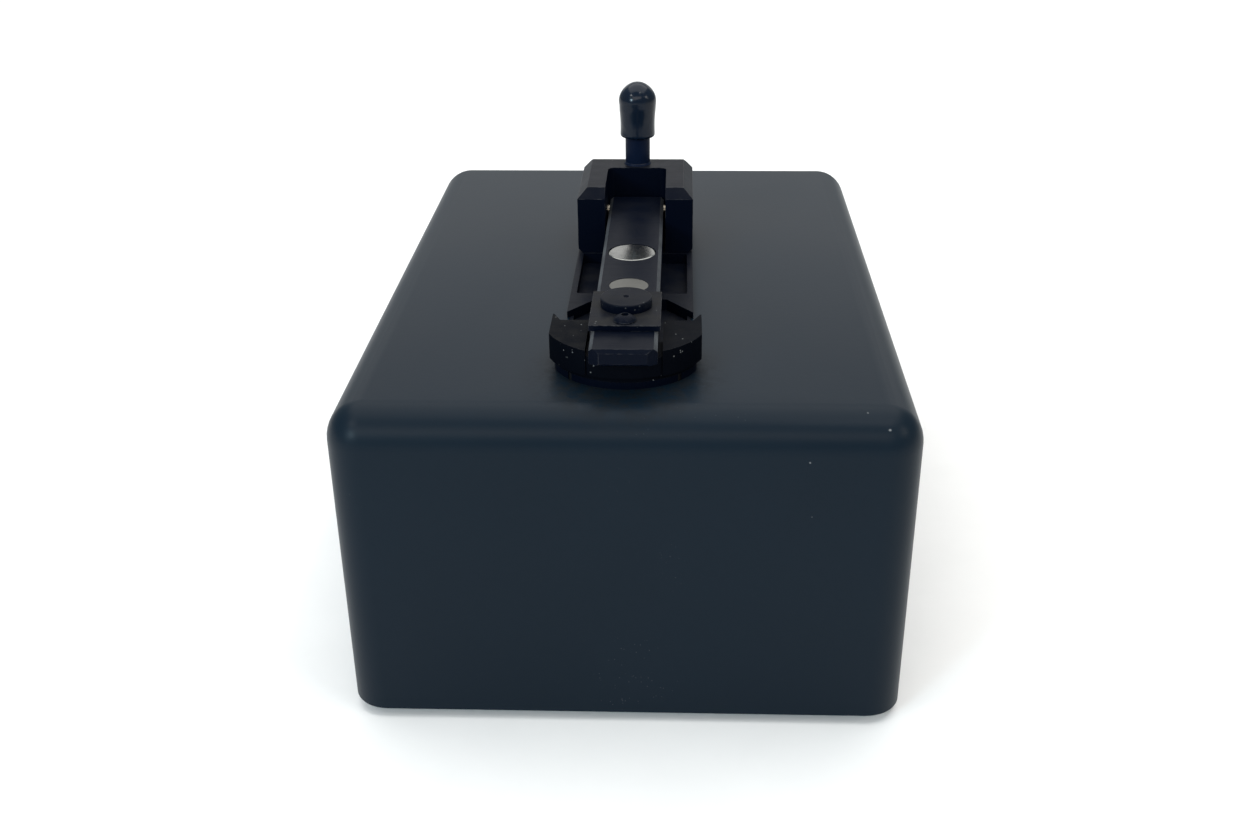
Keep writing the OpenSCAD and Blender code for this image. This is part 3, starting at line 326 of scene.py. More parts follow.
def cover_paint():
    """Satin slate paint with a fine orange peel, a few pale nicks and painted shade on the top
    round the nose's foot.
    """
    f = Finish("cover_paint")
    s = finish_settings()
    base = tuple(s.cover_colour)
    cloud = f.noise(16, 4, 0.55)
    tone = f.mix(cloud.range(0.3, 0.75), base, tuple(c * 1.10 for c in base))
    low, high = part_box("nose")
    ahead = Vector(((low.x + high.x) / 2, low.y + 0.006, low.z))
    # Painted shade: the top is darkened round the nose's foot, where the nose's shadow falls, and
    # the shade is broken up by noise.
    shade_reach = f.distance(ahead).range(12 * MM, 28 * MM, 1.0, 0.0) * f.attribute("up")
    painted_shade = (shade_reach * f.noise(330, 6, 0.7).range(0.38, 0.60) * 0.65).clamp()
    dark = f.mix(painted_shade, tone, (0.006, 0.007, 0.008))
    lint = f.cells(900).range(0.05, 0.10, 1.0, 0.0) * f.noise(33, 2).range(0.62, 0.70)
    marks = (lint * 0.22 + nicks(f)).clamp()
    f.set(Base_Color=f.mix(marks, dark, (0.34, 0.35, 0.36)),
          Roughness=(s.cover_roughness + cloud * 0.06 + painted_shade * 0.25 + marks * 0.2).clamp(),
          Specular_IOR_Level=0.11)
    return f.bump(f.noise(2600, 3) * 0.5 + f.noise(700, 2) * 0.7, 0.00003, 0.5).material


def anodised(name, tint=1.0, dust=1.0, worn=1.0, bevel=0.0, crumbs=0.0):
    """Black anodised aluminium with dust on what looks up and rubbed edges, and a painted
    highlight on slanting bevels when bevel is set.
    """
    f = Finish(name)
    s = finish_settings()
    base = tuple(c * tint for c in s.metal_colour)
    up = f.attribute("up")
    edge = f.attribute("edge")
    patch = f.noise(160, 5, 0.6)
    speck = f.cells(1400).range(0.10, 0.28, 1.0, 0.0) * f.noise(300, 2).range(0.45, 0.6)
    lying = (up * (patch.range(0.30, 0.72) * 0.75 + 0.15 + speck * 0.8) * (s.dust * dust)).clamp()
    rubbed = (edge * f.noise(500, 4, 0.7).range(0.42, 0.66) * (0.4 * worn)).clamp()
    scratch = f.noise(90, 6, 0.7, f.mapped(turn=(0.1, 0.2, 0.6), scale=(1, 14, 1)))
    colour = f.mix(lying, base, tuple(s.dust_colour))
    colour = f.mix(rubbed, colour, RUBBED_METAL)
    # Painted highlight: slanting bevel faces are lightened in place of the light they catch.
    if bevel:
        lit = (f.attribute("slant") * f.noise(120, 3).range(0.25, 0.7, 0.35, 1.0) * bevel).clamp()
        colour = f.mix(lit, colour, BEVEL_PAINTED_HIGHLIGHT)
    if crumbs:
        colour = f.mix((crumb_mask(f) * crumbs).clamp(), colour, CRUMB_COLOUR)
    f.set(Base_Color=colour,
          Roughness=(0.34 + lying * 0.35 + scratch.range(0.5, 0.7) * 0.08).clamp(),
          Specular_IOR_Level=0.045)
    return f.bump(f.noise(5200, 2) + scratch * 0.4, 0.00002, 0.6).material


def crumb_mask(finish):
    """Mask of pale crumbs that lie here and there."""
    return finish.cells(560).range(0.07, 0.13, 1.0, 0.0) * finish.noise(170, 2).range(0.47, 0.54)


def nose_plastic():
    """Machined black acetal, dusty and chalky along its edges, with pale crumbs on it, and the
    dust laid heavier on the left as painted light.
    """
    f = Finish("nose_plastic")
    s = finish_settings()
    up = f.attribute("up")
    edge = f.attribute("edge")
    chalk = f.noise(240, 6, 0.7)
    # Painted light: the dust weighs more towards the left, which lightens the side the light falls
    # on.
    left = f.axis("X").range(-10 * MM, 14 * MM, 1.0, 0.45)
    lying = (up * chalk.range(0.35, 0.7) * left * s.dust * 0.8).clamp()
    rubbed = (edge * f.noise(380, 4, 0.7).range(0.45, 0.66) * 0.5).clamp()
    turned = f.noise(900, 2, 0.5, f.mapped(scale=(0.05, 0.05, 1)))
    colour = f.mix(lying, (0.0018, 0.0026, 0.0048), tuple(s.dust_colour))
    colour = f.mix(rubbed, colour, RUBBED_PLASTIC)
    f.set(Base_Color=f.mix((crumb_mask(f) * 0.6).clamp(), colour, CRUMB_COLOUR),
          Roughness=(0.38 + lying * 0.3 + turned * 0.1).clamp(), Specular_IOR_Level=0.012)
    return f.bump(turned * 0.8 + chalk * 0.5, 0.00004, 0.5).material


def cap_vinyl():
    """Glossy dipped vinyl with a faint ripple."""
    f = Finish("cap_vinyl")
    ripple = f.noise(210, 3, 0.5)
    f.set(Base_Color=f.mix(ripple.range(0.5, 0.75) * 0.3, tuple(finish_settings().cap_colour),
                           (0.008, 0.009, 0.012)),
          Roughness=(0.16 + ripple * 0.08).clamp(), Coat_Weight=0.05, Coat_Roughness=0.04,
          Specular_IOR_Level=0.16)
    return f.bump(ripple, 0.00018, 0.4).material


def polished(name, colour, rough=0.10, brushed=0.0):
    """Bright metal with hairline scratches."""
    f = Finish(name)
    hair = f.noise(260, 5, 0.7, f.mapped(turn=(0, 0, 0.5), scale=(1, 22, 1)))
    haze = f.noise(330, 3)
    f.set(Base_Color=f.mix(haze.range(0.35, 0.75), colour, tuple(c * 0.82 for c in colour)),
          Metallic=1.0, Roughness=(rough + hair.range(0.5, 0.7) * (0.06 + brushed)).clamp())
    return f.bump(hair, 0.00001, 0.25 + brushed).material


def plain(name, colour, rough, vary=0.12, scale=500, metallic=0.0, bump=0.00002, spec=0.4):
    """Moulded or drawn material whose tone and gloss wander a little."""
    f = Finish(name)
    wander = f.noise(scale, 4, 0.6)
    f.set(Base_Color=f.mix(wander.range(0.3, 0.7), tuple(c * (1 - vary) for c in colour),
                           tuple(min(1.0, c * (1 + vary)) for c in colour)),
          Roughness=(rough - 0.04 + wander * 0.1).clamp(), Metallic=metallic,
          Specular_IOR_Level=spec)
    return f.bump(wander, bump, 0.6).material


def circuit_board():
    """Green solder mask over faint copper tracks."""
    f = Finish("board")
    track = f.node("ShaderNodeTexBrick", {"offset": 0.5}, {
        "Vector": f.place, "Scale": 90.0, "Mortar Size": 0.03, "Mortar Smooth": 0.2}, "Fac")
    f.set(Base_Color=f.mix(track * 0.6, (0.012, 0.085, 0.035), (0.03, 0.16, 0.06)),
          Roughness=(0.32 + track * 0.08).clamp())
    return f.bump(track, 0.00004, 0.5).material


def braided_sleeve():
    """Dark woven sleeve."""
    f = Finish("lead_sleeve")
    weave = f.cells(1500, f.mapped(turn=(0.6, 0.6, 0.6)))
    f.set(Base_Color=f.mix(weave.range(0.1, 0.5), (0.05, 0.05, 0.055), (0.012, 0.012, 0.014)),
          Roughness=(0.55 + weave * 0.2).clamp())
    return f.bump(weave, 0.0001, 0.6).material


def clear_dome():
    """Clear epoxy of a diode."""
    f = Finish("clear")
    swirl = f.noise(700, 2)
    f.set(Base_Color=f.mix(swirl, (0.78, 0.82, 0.92), (0.9, 0.92, 0.96)),
          Roughness=(0.05 + swirl * 0.06).clamp(), Transmission_Weight=0.85, IOR=1.5)
    return f.material


def node_finishes():
    """The material for each of the record's slots."""
    return {
        "cover_paint": cover_paint(),
        "floor_metal": polished("floor_metal", (0.46, 0.47, 0.48), 0.36, 0.2),
        "rubber": plain("rubber", (0.018, 0.018, 0.019), 0.72, 0.25, 900, bump=0.00006),
        "black_metal": anodised("black_metal"),
        "black_plastic": nose_plastic(),
        "cap_vinyl": cap_vinyl(),
        "steel": polished("steel", (0.56, 0.56, 0.57), 0.24, 0.1),
        "black_steel": plain("black_steel", (0.006, 0.006, 0.007), 0.4, 0.2, 900, spec=0.2),
        "pin_steel": plain("pin_steel", (0.30, 0.27, 0.22), 0.35, 0.3, 900, 1.0),
        "polished": polished("polished", (0.26, 0.265, 0.255), 0.18),
        "ivory": plain("ivory", (0.082, 0.080, 0.072), 0.34, 0.12, 300, 0.2),
        "board": circuit_board(),
        "chip": plain("chip", (0.014, 0.014, 0.015), 0.5, 0.2, 1200),
        "brass": polished("brass", (0.62, 0.46, 0.20), 0.28, 0.1),
        "jacket": plain("jacket", (0.02, 0.03, 0.16), 0.35, 0.1, 600),
        "lead_sleeve": braided_sleeve(),
        "clear": clear_dome(),
        "mirror": polished("mirror", (0.86, 0.88, 0.90), 0.03),
        "magnet": polished("magnet", (0.60, 0.59, 0.57), 0.18),
    }


FINISHES = {}            # slot name: material, filled by main()
OWN_FINISH = {"nose_screws": "black_steel"}


# ------------------------------------------------------------------ mesh tools

def new_piece(name, mesh, body, slot, replaces=(), finish=None):
    """Links a finished mesh as a piece of the model."""
    piece = bpy.data.objects.new(name, mesh)
    bpy.context.scene.collection.objects.link(piece)
    mesh.materials.clear()
    mesh.materials.append(finish or FINISHES[slot])
    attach(piece, body)
    if replaces:
        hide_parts(*replaces)
    return piece


def evaluated(obj):
    """The object's mesh with its modifiers applied; the object is removed."""
    bpy.context.view_layer.update()
    graph = bpy.context.evaluated_depsgraph_get()
    mesh = bpy.data.meshes.new_from_object(obj.evaluated_get(graph))
    bpy.data.objects.remove(obj)
    return mesh


def mark_faces(mesh):
    """Stores how far each face looks up, and which faces slant or are rounded-over edges."""
    up = mesh.attributes.new("up", "FLOAT", "FACE")
    slant = mesh.attributes.new("slant", "FLOAT", "FACE")
    edge = mesh.attributes.new("edge", "FLOAT", "FACE")
    for polygon in mesh.polygons:
        lifted = max(0.0, polygon.normal.z)
        up.data[polygon.index].value = lifted * lifted
        bevelled = SLANT_LOW < polygon.normal.z < SLANT_HIGH \
            and abs(polygon.normal.x) > SLANT_SIDE
        slant.data[polygon.index].value = 1.0 if bevelled else 0.0
        edge.data[polygon.index].value = 1.0 if polygon.material_index == 1 else 0.0
        polygon.material_index = 0


def merged_mesh(node):
    """A copy of a CAD node's mesh with its points merged and its flat faces joined."""
    mesh = NODES[node].data.copy()
    shape = bmesh.new()
    shape.from_mesh(mesh)
    bmesh.ops.remove_doubles(shape, verts=shape.verts, dist=1e-6)
    bmesh.ops.dissolve_limit(shape, angle_limit=math.radians(0.5), verts=shape.verts,
                             edges=shape.edges, delimit=set())
    bmesh.ops.recalc_face_normals(shape, faces=shape.faces)
    shape.to_mesh(mesh)
    shape.free()
    for attribute in [a for a in mesh.attributes if a.name.startswith("custom_normal")]:
        mesh.attributes.remove(attribute)
    return mesh


def edged_mesh(node, width, segments=2, angle=28.0, step=None):
    """A CAD node's shape with its sharp edges rounded over, and its foot cut back by a step."""
    mesh = merged_mesh(node)
    if step:
        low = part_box(node)[0].z
        mesh = undercut(mesh, nose_foot(), low - 0.1 * MM, low + step)
    mesh.materials.clear()
    for _ in range(2):
        mesh.materials.append(None)
    for polygon in mesh.polygons:
        polygon.material_index = 0
    mesh.shade_smooth()
    rough = bpy.data.objects.new(node + "_rough", mesh)
    bpy.context.scene.collection.objects.link(rough)
    bevel = rough.modifiers.new("edges", "BEVEL")
    bevel.width = width
    bevel.segments = segments
    bevel.limit_method = "ANGLE"
    bevel.angle_limit = math.radians(angle)
    bevel.material = 1
    bevel.use_clamp_overlap = True
    bevel.harden_normals = True
    bevel.miter_outer = "MITER_ARC"
    done = evaluated(rough)
    mark_faces(done)
    return done


def undercut(mesh, outline, low, high):
    """Cuts away what stands outside a U-shaped outline between two heights."""
    shape = bmesh.new()
    rows = []
    for x, y, far_x, far_y in outline:
        rows.append([shape.verts.new((x, y, low)), shape.verts.new((far_x, far_y, low)),
                     shape.verts.new((far_x, far_y, high)), shape.verts.new((x, y, high))])
    for near_row, next_row in zip(rows, rows[1:]):
        for i in range(4):
            j = (i + 1) % 4
            shape.faces.new((near_row[i], near_row[j], next_row[j], next_row[i]))
    shape.faces.new(rows[0])
    shape.faces.new(reversed(rows[-1]))
    bmesh.ops.recalc_face_normals(shape, faces=shape.faces)
    ring = bpy.data.meshes.new("undercut")
    shape.to_mesh(ring)
    shape.free()
    cutter = bpy.data.objects.new("undercut", ring)
    rough = bpy.data.objects.new("undercut_rough", mesh)
    for obj in (cutter, rough):
        bpy.context.scene.collection.objects.link(obj)
    cut = rough.modifiers.new("cut", "BOOLEAN")
    cut.operation = "DIFFERENCE"
    cut.solver = "EXACT"
    cut.object = cutter
    done = evaluated(rough)
    bpy.data.objects.remove(cutter)
    return done


def nose_foot():
    """Plan of the nose's foot, which is the head base's: each point with one further out."""
    low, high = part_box("head_base")
    nose_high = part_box("nose")[1]
    half, front = high.x, low.y
    overhang = nose_high.x - half
    radius = bpy.context.scene.fluorometer_nose.radius - overhang
    axis = front + radius
    start = math.asin(half / radius)
    points = [(half, nose_high.y + overhang)]
    for i in range(FOOT_ARC_STEPS + 1):
        angle = start * (1 - 2 * i / FOOT_ARC_STEPS)
        points.append((radius * math.sin(angle), axis - radius * math.cos(angle)))
    points.append((-half, nose_high.y + overhang))
    return [(x, y, x * CUTTER_REACH, axis + (y - axis) * CUTTER_REACH) for x, y in points]


def dressed(node, body, width, finish=None, segments=2, name=None, angle=28.0, step=None):
    """Puts a rounded-over copy in a CAD node's place."""
    mesh = edged_mesh(node, width, segments, angle, step)
    return new_piece(name or node + "_finished", mesh, body, SLOT_OF[node], [node], finish)


def quarter_round(flat, size):
    """Profile points of a rounded lower edge that starts at the radius flat."""
    return [(flat + size * math.sin(a), size * (1 - math.cos(a)))
            for a in (math.radians(15 * k) for k in range(1, 6))]


def revolved(profile, count=ROUND_SIDES):
    """Mesh of revolution about Z from a profile of (radius, height) points, closed at its ends."""
    shape = bmesh.new()
    rings = []
    for radius, height in profile:
        if radius < 1e-7:
            rings.append([shape.verts.new((0, 0, height))])
            continue
        rings.append([shape.verts.new((radius * math.cos(2 * math.pi * i / count),
                                       radius * math.sin(2 * math.pi * i / count), height))
                      for i in range(count)])
    for low, high in zip(rings, rings[1:]):
        for i in range(count):
            j = (i + 1) % count
            if len(low) == 1:
                shape.faces.new((low[0], high[j], high[i]))
            elif len(high) == 1:
                shape.faces.new((low[i], low[j], high[0]))
            else:
                shape.faces.new((low[i], low[j], high[j], high[i]))
    bmesh.ops.recalc_face_normals(shape, faces=shape.faces)
    mesh = bpy.data.meshes.new("revolved")
    shape.to_mesh(mesh)
    shape.free()
    mesh.shade_smooth()
    mesh.set_sharp_from_angle(angle=math.radians(40))
    return mesh


def foot_mesh(node, round_over):
    """A tapered foot with its lower edge rounded over, sized from its CAD node."""
    low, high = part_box(node)
    centre = Vector(((low.x + high.x) / 2, (low.y + high.y) / 2, low.z))
    rim = [v.co for v in NODES[node].data.vertices if v.co.z < low.z + EPSILON]
    flat = max((p - centre).length for p in rim) - round_over
    profile = [(0.0, 0.0), (flat, 0.0), *quarter_round(flat, round_over),
               ((high.x - low.x) / 2, high.z - low.z), (0.0, high.z - low.z)]
    mesh = revolved(profile)
    mesh.transform(Matrix.Translation(centre))
    return mesh


# ------------------------------------------------------------------ pieces

class FLUORO_OT_cover(bpy.types.Operator):
    """Cover with softened rims"""
    bl_idname = "fluorometer.cover"
    bl_label = "Cover"

    def execute(self, context):
        edges = context.scene.fluorometer_edges
        dressed("cover", HOUSING, edges.moulded, segments=3, angle=40.0)
        return {"FINISHED"}


class FLUORO_OT_head_base(bpy.types.Operator):
    """Flat base of the sampling head"""
    bl_idname = "fluorometer.head_base"
    bl_label = "Head base"

    def execute(self, context):
        edges = context.scene.fluorometer_edges
        dressed("head_base", HOUSING, edges.machined * 0.7,
                anodised("base_metal", dust=0.75, worn=0.6))
        return {"FINISHED"}


class FLUORO_OT_hinge_block(bpy.types.Operator):
    """Eared block, its pin and the bumper's post"""
    bl_idname = "fluorometer.hinge_block"
    bl_label = "Hinge block"

    def execute(self, context):
        edges = context.scene.fluorometer_edges
        dressed("hinge_block", HOUSING, edges.machined,
                anodised("block_metal", dust=0.7, worn=1.0), segments=3)
        dressed("stop_post", HOUSING, edges.fine, anodised("post_metal", tint=2.8, dust=0.3))
        dressed("hinge_pin", HOUSING, edges.fine, FINISHES["pin_steel"])
        dressed("base_magnet", HOUSING, edges.machined)
        return {"FINISHED"}


class FLUORO_OT_stop_cap(bpy.types.Operator):
    """Soft dipped cap over the post"""
    bl_idname = "fluorometer.stop_cap"
    bl_label = "Bumper cap"

    def execute(self, context):
        cap = context.scene.fluorometer_cap
        low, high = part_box("stop_cap")
        mesh = revolved(self.profile(cap, low, high))
        for vertex in mesh.vertices:
            flat = Vector((vertex.co.x, vertex.co.y, 0))
            if vertex.co.z > cap.skirt and flat.length > 0.2 * MM:
                wave = noise.noise(vertex.co * 260) - 0.25
                vertex.co -= flat.normalized() * max(0.0, wave) * cap.dent
        centre = Vector(((low.x + high.x) / 2, (low.y + high.y) / 2, low.z))
        mesh.transform(Matrix.Translation(centre))
        new_piece("bumper_cap", mesh, HOUSING, SLOT_OF["stop_cap"], ["stop_cap"])
        return {"FINISHED"}

    @staticmethod
    def profile(cap, low, high):
        """Half section: the bore, a rounded lip, a side with a slight waist and a domed end."""
        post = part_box("stop_post")
        length = high.z - low.z
        bulge = (high.x - low.x) / 2
        lip = bulge * cap.lip_share
        bore = (post[1].x - post[0].x) / 2 - cap.grip
        sunk = post[1].z - low.z
        flat = lip - cap.lip_round
        profile = [(0.0, sunk), (bore, sunk), (bore, 0.0), (flat, 0.0),
                   *quarter_round(flat, cap.lip_round)]
        for i in range(CAP_RINGS + 1):
            z = cap.skirt + (length - cap.skirt) * i / CAP_RINGS
            if z < length - bulge:
                t = (z - cap.skirt) / (length - bulge - cap.skirt)
                radius = lip - cap.waist * math.sin(math.pi * t) \
                    + (bulge - lip) * math.sin(t * math.pi / 2) ** 3
            else:
                t = min(1.0, (z - length + bulge) / bulge)
                radius = bulge * max(0.0, 1 - t ** 1.9) ** 0.58
            profile.append((radius, z))
        return profile


class FLUORO_OT_nose(bpy.types.Operator):
    """Nose, the diode block in its slot and the pedestal"""
    bl_idname = "fluorometer.nose"
    bl_label = "Nose"

    def execute(self, context):
        edges = context.scene.fluorometer_edges
        step = context.scene.fluorometer_nose.step
        dressed("nose", HOUSING, edges.machined, segments=3, step=step)
        dressed("front_led_block", HOUSING, edges.fine, name="diode_block", step=step)
        dressed("pedestal", HOUSING, edges.fine)
        return {"FINISHED"}


class FLUORO_OT_arm(bpy.types.Operator):
    """Arm with its discs, plate, bushing and screw"""
    bl_idname = "fluorometer.arm"
    bl_label = "Sampling arm"

    def execute(self, context):
        edges = context.scene.fluorometer_edges
        # bevel sets the painted highlight on the arm's slanting side bevels.
        dressed("arm", ARM, edges.machined, anodised("arm_metal", dust=0.25, worn=1.2, bevel=0.9),
                segments=3)
        dusty = anodised("plate_metal", dust=2.0, crumbs=0.6)
        dressed("retaining_plate", ARM, edges.machined * 0.8, dusty)
        dressed("bushing", ARM, edges.fine, anodised("bushing_metal", dust=0.8, crumbs=0.3))
        dressed("keeper_disc", ARM, edges.fine)
        dressed("front_disc", ARM, edges.fine)
        dressed("plate_screw", ARM, edges.fine, anodised("screw_metal", dust=0.5))
        return {"FINISHED"}


class FLUORO_OT_rear(bpy.types.Operator):
    """Rear panel with its sockets"""
    bl_idname = "fluorometer.rear"
    bl_label = "Rear panel"

    def execute(self, context):
        edges = context.scene.fluorometer_edges
        dressed("rear_panel", HOUSING, edges.machined, anodised("panel_metal", tint=1.6, dust=0.2))
        dressed("usb_shell", HOUSING, edges.fine)
        dressed("usb_tongue", HOUSING, edges.fine)
        dressed("power_jack", HOUSING, edges.machined)
        dressed("power_jack_pin", HOUSING, edges.fine)
        return {"FINISHED"}


class FLUORO_OT_feet(bpy.types.Operator):
    """Rubber feet and the floor plate"""
    bl_idname = "fluorometer.feet"
    bl_label = "Feet"

    def execute(self, context):
        edges = context.scene.fluorometer_edges
        for corner in ("front_left", "front_right", "rear_left", "rear_right"):
            node = "foot_" + corner
            new_piece(node + "_finished", foot_mesh(node, edges.foot), HOUSING, SLOT_OF[node],
                      [node])
        dressed("floor_plate", HOUSING, edges.fine)
        return {"FINISHED"}


# ------------------------------------------------------------------ screws from nodes

class GeometryTree:
    """Builds a Geometry Nodes tree one node at a time."""

    def __init__(self, name, inputs):
        self.tree = bpy.data.node_groups.new(name, "GeometryNodeTree")
        face = self.tree.interface
        face.new_socket("Geometry", in_out="INPUT", socket_type="NodeSocketGeometry")
        face.new_socket("Geometry", in_out="OUTPUT", socket_type="NodeSocketGeometry")
        self.identifiers = {}
        for label, kind in inputs:
            made = face.new_socket(label, in_out="INPUT", socket_type=kind)
            self.identifiers[label] = made.identifier
        self.source = self.tree.nodes.new("NodeGroupInput")
        self.sink = self.tree.nodes.new("NodeGroupOutput")

    def node(self, kind, settings, values):
        made = self.tree.nodes.new(kind)
        for key, setting in settings.items():
            setattr(made, key, setting)
        for key, value in values.items():
            if isinstance(value, (list, tuple)) and value and hasattr(value[0], "is_output"):
                for socket in value:
                    self.tree.links.new(socket, made.inputs[key])
            elif hasattr(value, "is_output"):
                self.tree.links.new(value, made.inputs[key])
            else:
                made.inputs[key].default_value = value
        return made

    def value(self, label):
        return self.source.outputs[label]

    def maths(self, operation, first, second):
        return self.node("ShaderNodeMath", {"operation": operation},
                         {0: first, 1: second}).outputs[0]


def flat_screw_tree():
    """A countersunk screw with a hex socket, set on each point it is given, head down."""
    g = GeometryTree("flat_screws", [
        ("Thread", "NodeSocketFloat"), ("Length", "NodeSocketFloat"),
        ("Head Height", "NodeSocketFloat"), ("Socket", "NodeSocketFloat"),
        ("Finish", "NodeSocketMaterial")])
    thread, head = g.value("Thread"), g.value("Head Height")
    radius = g.maths("MULTIPLY", thread, 0.5)
    cone = g.node("GeometryNodeMeshCone", {}, {
        "Vertices": 48, "Radius Top": radius, "Radius Bottom": thread, "Depth": head})
    sunk = g.maths("MULTIPLY", head, 0.9)
    shank_length = g.maths("SUBTRACT", g.value("Length"), sunk)
    shank = g.node("GeometryNodeMeshCylinder", {}, {
        "Vertices": 48, "Radius": radius, "Depth": shank_length})
    lift = g.node("ShaderNodeCombineXYZ", {}, {
        "Z": g.maths("ADD", sunk, g.maths("MULTIPLY", shank_length, 0.5))})
    raised = g.node("GeometryNodeTransform", {}, {
        "Geometry": shank.outputs["Mesh"], "Translation": lift.outputs[0]})
    socket = g.node("GeometryNodeMeshCylinder", {}, {
        "Vertices": 6, "Radius": g.maths("MULTIPLY", g.value("Socket"), 0.5),
        "Depth": g.maths("MULTIPLY", head, 1.4)})
    body = g.node("GeometryNodeMeshBoolean", {"operation": "DIFFERENCE"}, {
        "Mesh 1": cone.outputs["Mesh"], "Mesh 2": [socket.outputs["Mesh"]]})
    whole = g.node("GeometryNodeJoinGeometry", {}, {
        "Geometry": [raised.outputs["Geometry"], body.outputs["Mesh"]]})
    spread = g.node("GeometryNodeInstanceOnPoints", {}, {
        "Points": g.source.outputs["Geometry"], "Instance": whole.outputs["Geometry"]})
    real = g.node("GeometryNodeRealizeInstances", {}, {"Geometry": spread.outputs[0]})
    finished = g.node("GeometryNodeSetMaterial", {}, {
        "Geometry": real.outputs[0], "Material": g.value("Finish")})
    g.tree.links.new(finished.outputs[0], g.sink.inputs["Geometry"])
    return g


class FLUORO_OT_floor_screws(bpy.types.Operator):
    """Countersunk screws under the floor plate, set out by nodes"""
    bl_idname = "fluorometer.floor_screws"
    bl_label = "Floor screws"

    def execute(self, context):
        sizes = context.scene.fluorometer_screws
        tree = flat_screw_tree()
        for node in ("cover_screws", "spectrometer_screws", "rear_panel_screws"):
            low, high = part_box(node)
            radius = self.head_radius(node)
            xs = (low.x + radius, high.x - radius)
            ys = (low.y + radius, high.y - radius)
            if ys[1] - ys[0] < radius:
                ys = ((low.y + high.y) / 2,)
            points = bpy.data.meshes.new(node + "_places")
            points.from_pydata([(x, y, low.z) for x in xs for y in ys], [], [])
            holder = bpy.data.objects.new(node + "_rough", points)
            context.scene.collection.objects.link(holder)
            modifier = holder.modifiers.new("screws", "NODES")
            modifier.node_group = tree.tree
            for label, value in (
                    ("Thread", radius), ("Length", high.z - low.z),
                    ("Head Height", radius * sizes.head_share),
                    ("Socket", radius * sizes.socket_share), ("Finish", FINISHES["steel"])):
                modifier[tree.identifiers[label]] = value
            mesh = evaluated(holder)
            if not mesh.polygons:
                raise RuntimeError("no screws were made for " + node)
            new_piece(node + "_finished", mesh, HOUSING, SLOT_OF[node], [node])
        return {"FINISHED"}

    @staticmethod
    def head_radius(node):
        """Radius of a flat head, which is also the thread's diameter."""
        mesh = NODES[node].data
        low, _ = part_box(node)
        rim = [v.co for v in mesh.vertices if v.co.z < low.z + EPSILON]
        left = min(p.x for p in rim)
        column = [p for p in rim if p.x < left + SCREW_SPACING]
        front = min(p.y for p in column)
        one = [p.x for p in column if p.y < front + SCREW_SPACING]
        return (max(one) - min(one)) / 2


class FLUORO_OT_inner_parts(bpy.types.Operator):
    """Finishes for the pieces inside the housing"""
    bl_idname = "fluorometer.inner_parts"
    bl_label = "Inner parts"

    def execute(self, context):
        for name, node in NODES.items():
            finish = FINISHES.get(OWN_FINISH.get(name, SLOT_OF[name]))
            if finish is None:
                raise RuntimeError("no finish for " + name)
            if not node.hide_render:
                node.data.materials.clear()
                node.data.materials.append(finish)
        return {"FINISHED"}


# ------------------------------------------------------------------ stage

# Name, place, target, size, the setting that holds its power, its share of that and its colour.
LIGHTS = (
    ("overhead", (0.0, 0.55, 1.9), (0, 0.1, 0.05), (3.0, 2.4), "overhead", 1.0, (1, 0.975, 0.94)),
    ("behind", (0.0, 2.2, 0.85), (0, 0, 0.08), (3.2, 0.9), "behind", 1.0, (1, 0.94, 0.90)),
    ("window_left", (-1.0, -1.25, 0.70), (0, 0, 0.08), (0.3, 0.3), "side", 1.5, (0.66, 0.88, 1)),
    ("window_front", (-0.05, -1.22, 0.94), (0, 0, 0.08), (1.5, 0.5), "side", 1.0, (1, 0.93, 0.86)),
    ("lamp_right", (1.25, -0.55, 0.88), (0, 0, 0.08), (0.4, 0.4), "side", 0.5, (1, 0.96, 0.88)),
    ("glint_left", (-0.78, -0.62, 1.10), (0, 0, 0.1), (0.16, 0.16), "glint", 1.0, (1, 1, 1)),
    ("glint_right", (0.34, -0.40, 1.20), (0, 0, 0.1), (0.09, 0.09), "glint", 0.5, (1, 1, 1)),
)


def area_light(name, place, target, size, power, colour):
    light = bpy.data.lights.new(name, "AREA")
    light.shape = "RECTANGLE"
    light.size, light.size_y = size
    light.energy = power
    light.color = colour
    obj = bpy.data.objects.new(name, light)
    bpy.context.scene.collection.objects.link(obj)
    obj.location = place
    obj.visible_camera = False
    obj.rotation_euler = (Vector(target) - Vector(place)).to_track_quat("-Z", "Y").to_euler()


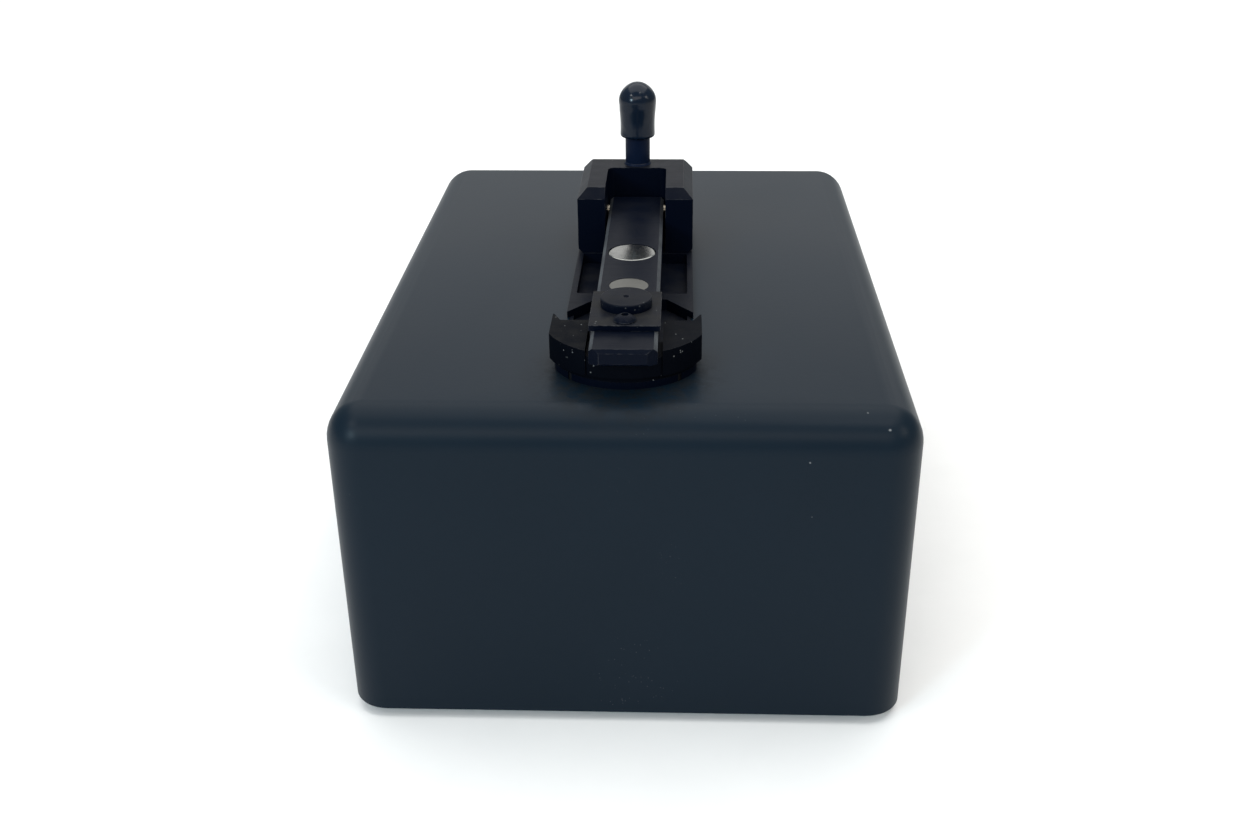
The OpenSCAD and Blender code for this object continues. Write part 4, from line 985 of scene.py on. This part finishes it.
class FLUORO_OT_stage(bpy.types.Operator):
    """Pale floor, soft lights and the camera"""
    bl_idname = "fluorometer.stage"
    bl_label = "Stage"

    def execute(self, context):
        scene = context.scene
        stage = scene.fluorometer_stage
        half = stage.floor_size / 2
        mesh = bpy.data.meshes.new("floor")
        mesh.from_pydata([(-half, -half, 0), (half, -half, 0), (half, half, 0), (-half, half, 0)],
                         [], [(0, 1, 2, 3)])
        floor = bpy.data.objects.new("floor", mesh)
        scene.collection.objects.link(floor)
        mesh.materials.append(plain("floor", (0.86, 0.86, 0.86), 0.75, 0.01, 40, bump=0.00001))

        world = bpy.data.worlds.new("studio")
        scene.world = world
        world.use_nodes = True
        backdrop = world.node_tree.nodes["Background"]
        backdrop.inputs["Color"].default_value = (0.80, 0.93, 1.0, 1.0)
        backdrop.inputs["Strength"].default_value = stage.sky

        for name, place, target, size, setting, share, colour in LIGHTS:
            area_light(name, place, target, size, getattr(stage, setting) * share, colour)

        data = bpy.data.cameras.new("camera")
        data.lens = stage.lens
        data.sensor_width = 36.0
        data.clip_start = 0.01
        camera = bpy.data.objects.new("camera", data)
        scene.collection.objects.link(camera)
        turn = Matrix.Rotation(math.radians(CAMERA_YAW), 3, "Z") \
            @ Matrix.Rotation(math.radians(CAMERA_PITCH), 3, "X")
        roll = math.radians(CAMERA_ROLL)
        right, ahead, above = (turn @ Vector(v) for v in ((1, 0, 0), (0, 1, 0), (0, 0, 1)))
        tilted = math.cos(roll) * right + math.sin(roll) * above
        upward = -math.sin(roll) * right + math.cos(roll) * above
        camera.matrix_world = Matrix.Translation(CAMERA_PLACE) @ Matrix(
            (tilted, upward, -ahead)).transposed().to_4x4()
        scene.camera = camera
        scene.view_settings.view_transform = "Standard"
        return {"FINISHED"}


class FLUORO_PT_pieces(bpy.types.Panel):
    """Lists the instrument's pieces and settings"""
    bl_idname = "FLUORO_PT_pieces"
    bl_label = "Fluorometer"
    bl_space_type = "VIEW_3D"
    bl_region_type = "UI"
    bl_category = "Fluorometer"

    def draw(self, context):
        layout = self.layout
        for group in GROUPS:
            box = layout.box()
            for name in GROUPS[group].__annotations__:
                box.prop(getattr(context.scene, "fluorometer_" + group), name)
        for operator in OPERATORS:
            layout.operator(operator.bl_idname)


GROUPS = {"finish": FinishSettings, "edges": EdgeSettings, "nose": NoseSettings,
          "cap": CapSettings, "screws": ScrewSettings, "stage": StageSettings}
OPERATORS = (FLUORO_OT_stage, FLUORO_OT_cover, FLUORO_OT_head_base, FLUORO_OT_hinge_block,
             FLUORO_OT_stop_cap, FLUORO_OT_nose, FLUORO_OT_arm, FLUORO_OT_rear,
             FLUORO_OT_feet, FLUORO_OT_floor_screws, FLUORO_OT_inner_parts)
CLASSES = (*GROUPS.values(), *OPERATORS, FLUORO_PT_pieces)


def register():
    for cls in CLASSES:
        bpy.utils.register_class(cls)
    for name, group in GROUPS.items():
        setattr(bpy.types.Scene, "fluorometer_" + name, bpy.props.PointerProperty(type=group))


def unregister():
    for name in GROUPS:
        delattr(bpy.types.Scene, "fluorometer_" + name)
    for cls in reversed(CLASSES):
        bpy.utils.unregister_class(cls)


def main():
    register()
    FINISHES.update(node_finishes())
    for operator in OPERATORS:
        group, name = operator.bl_idname.split(".")
        getattr(getattr(bpy.ops, group), name)()


if __name__ == "__main__":
    main()
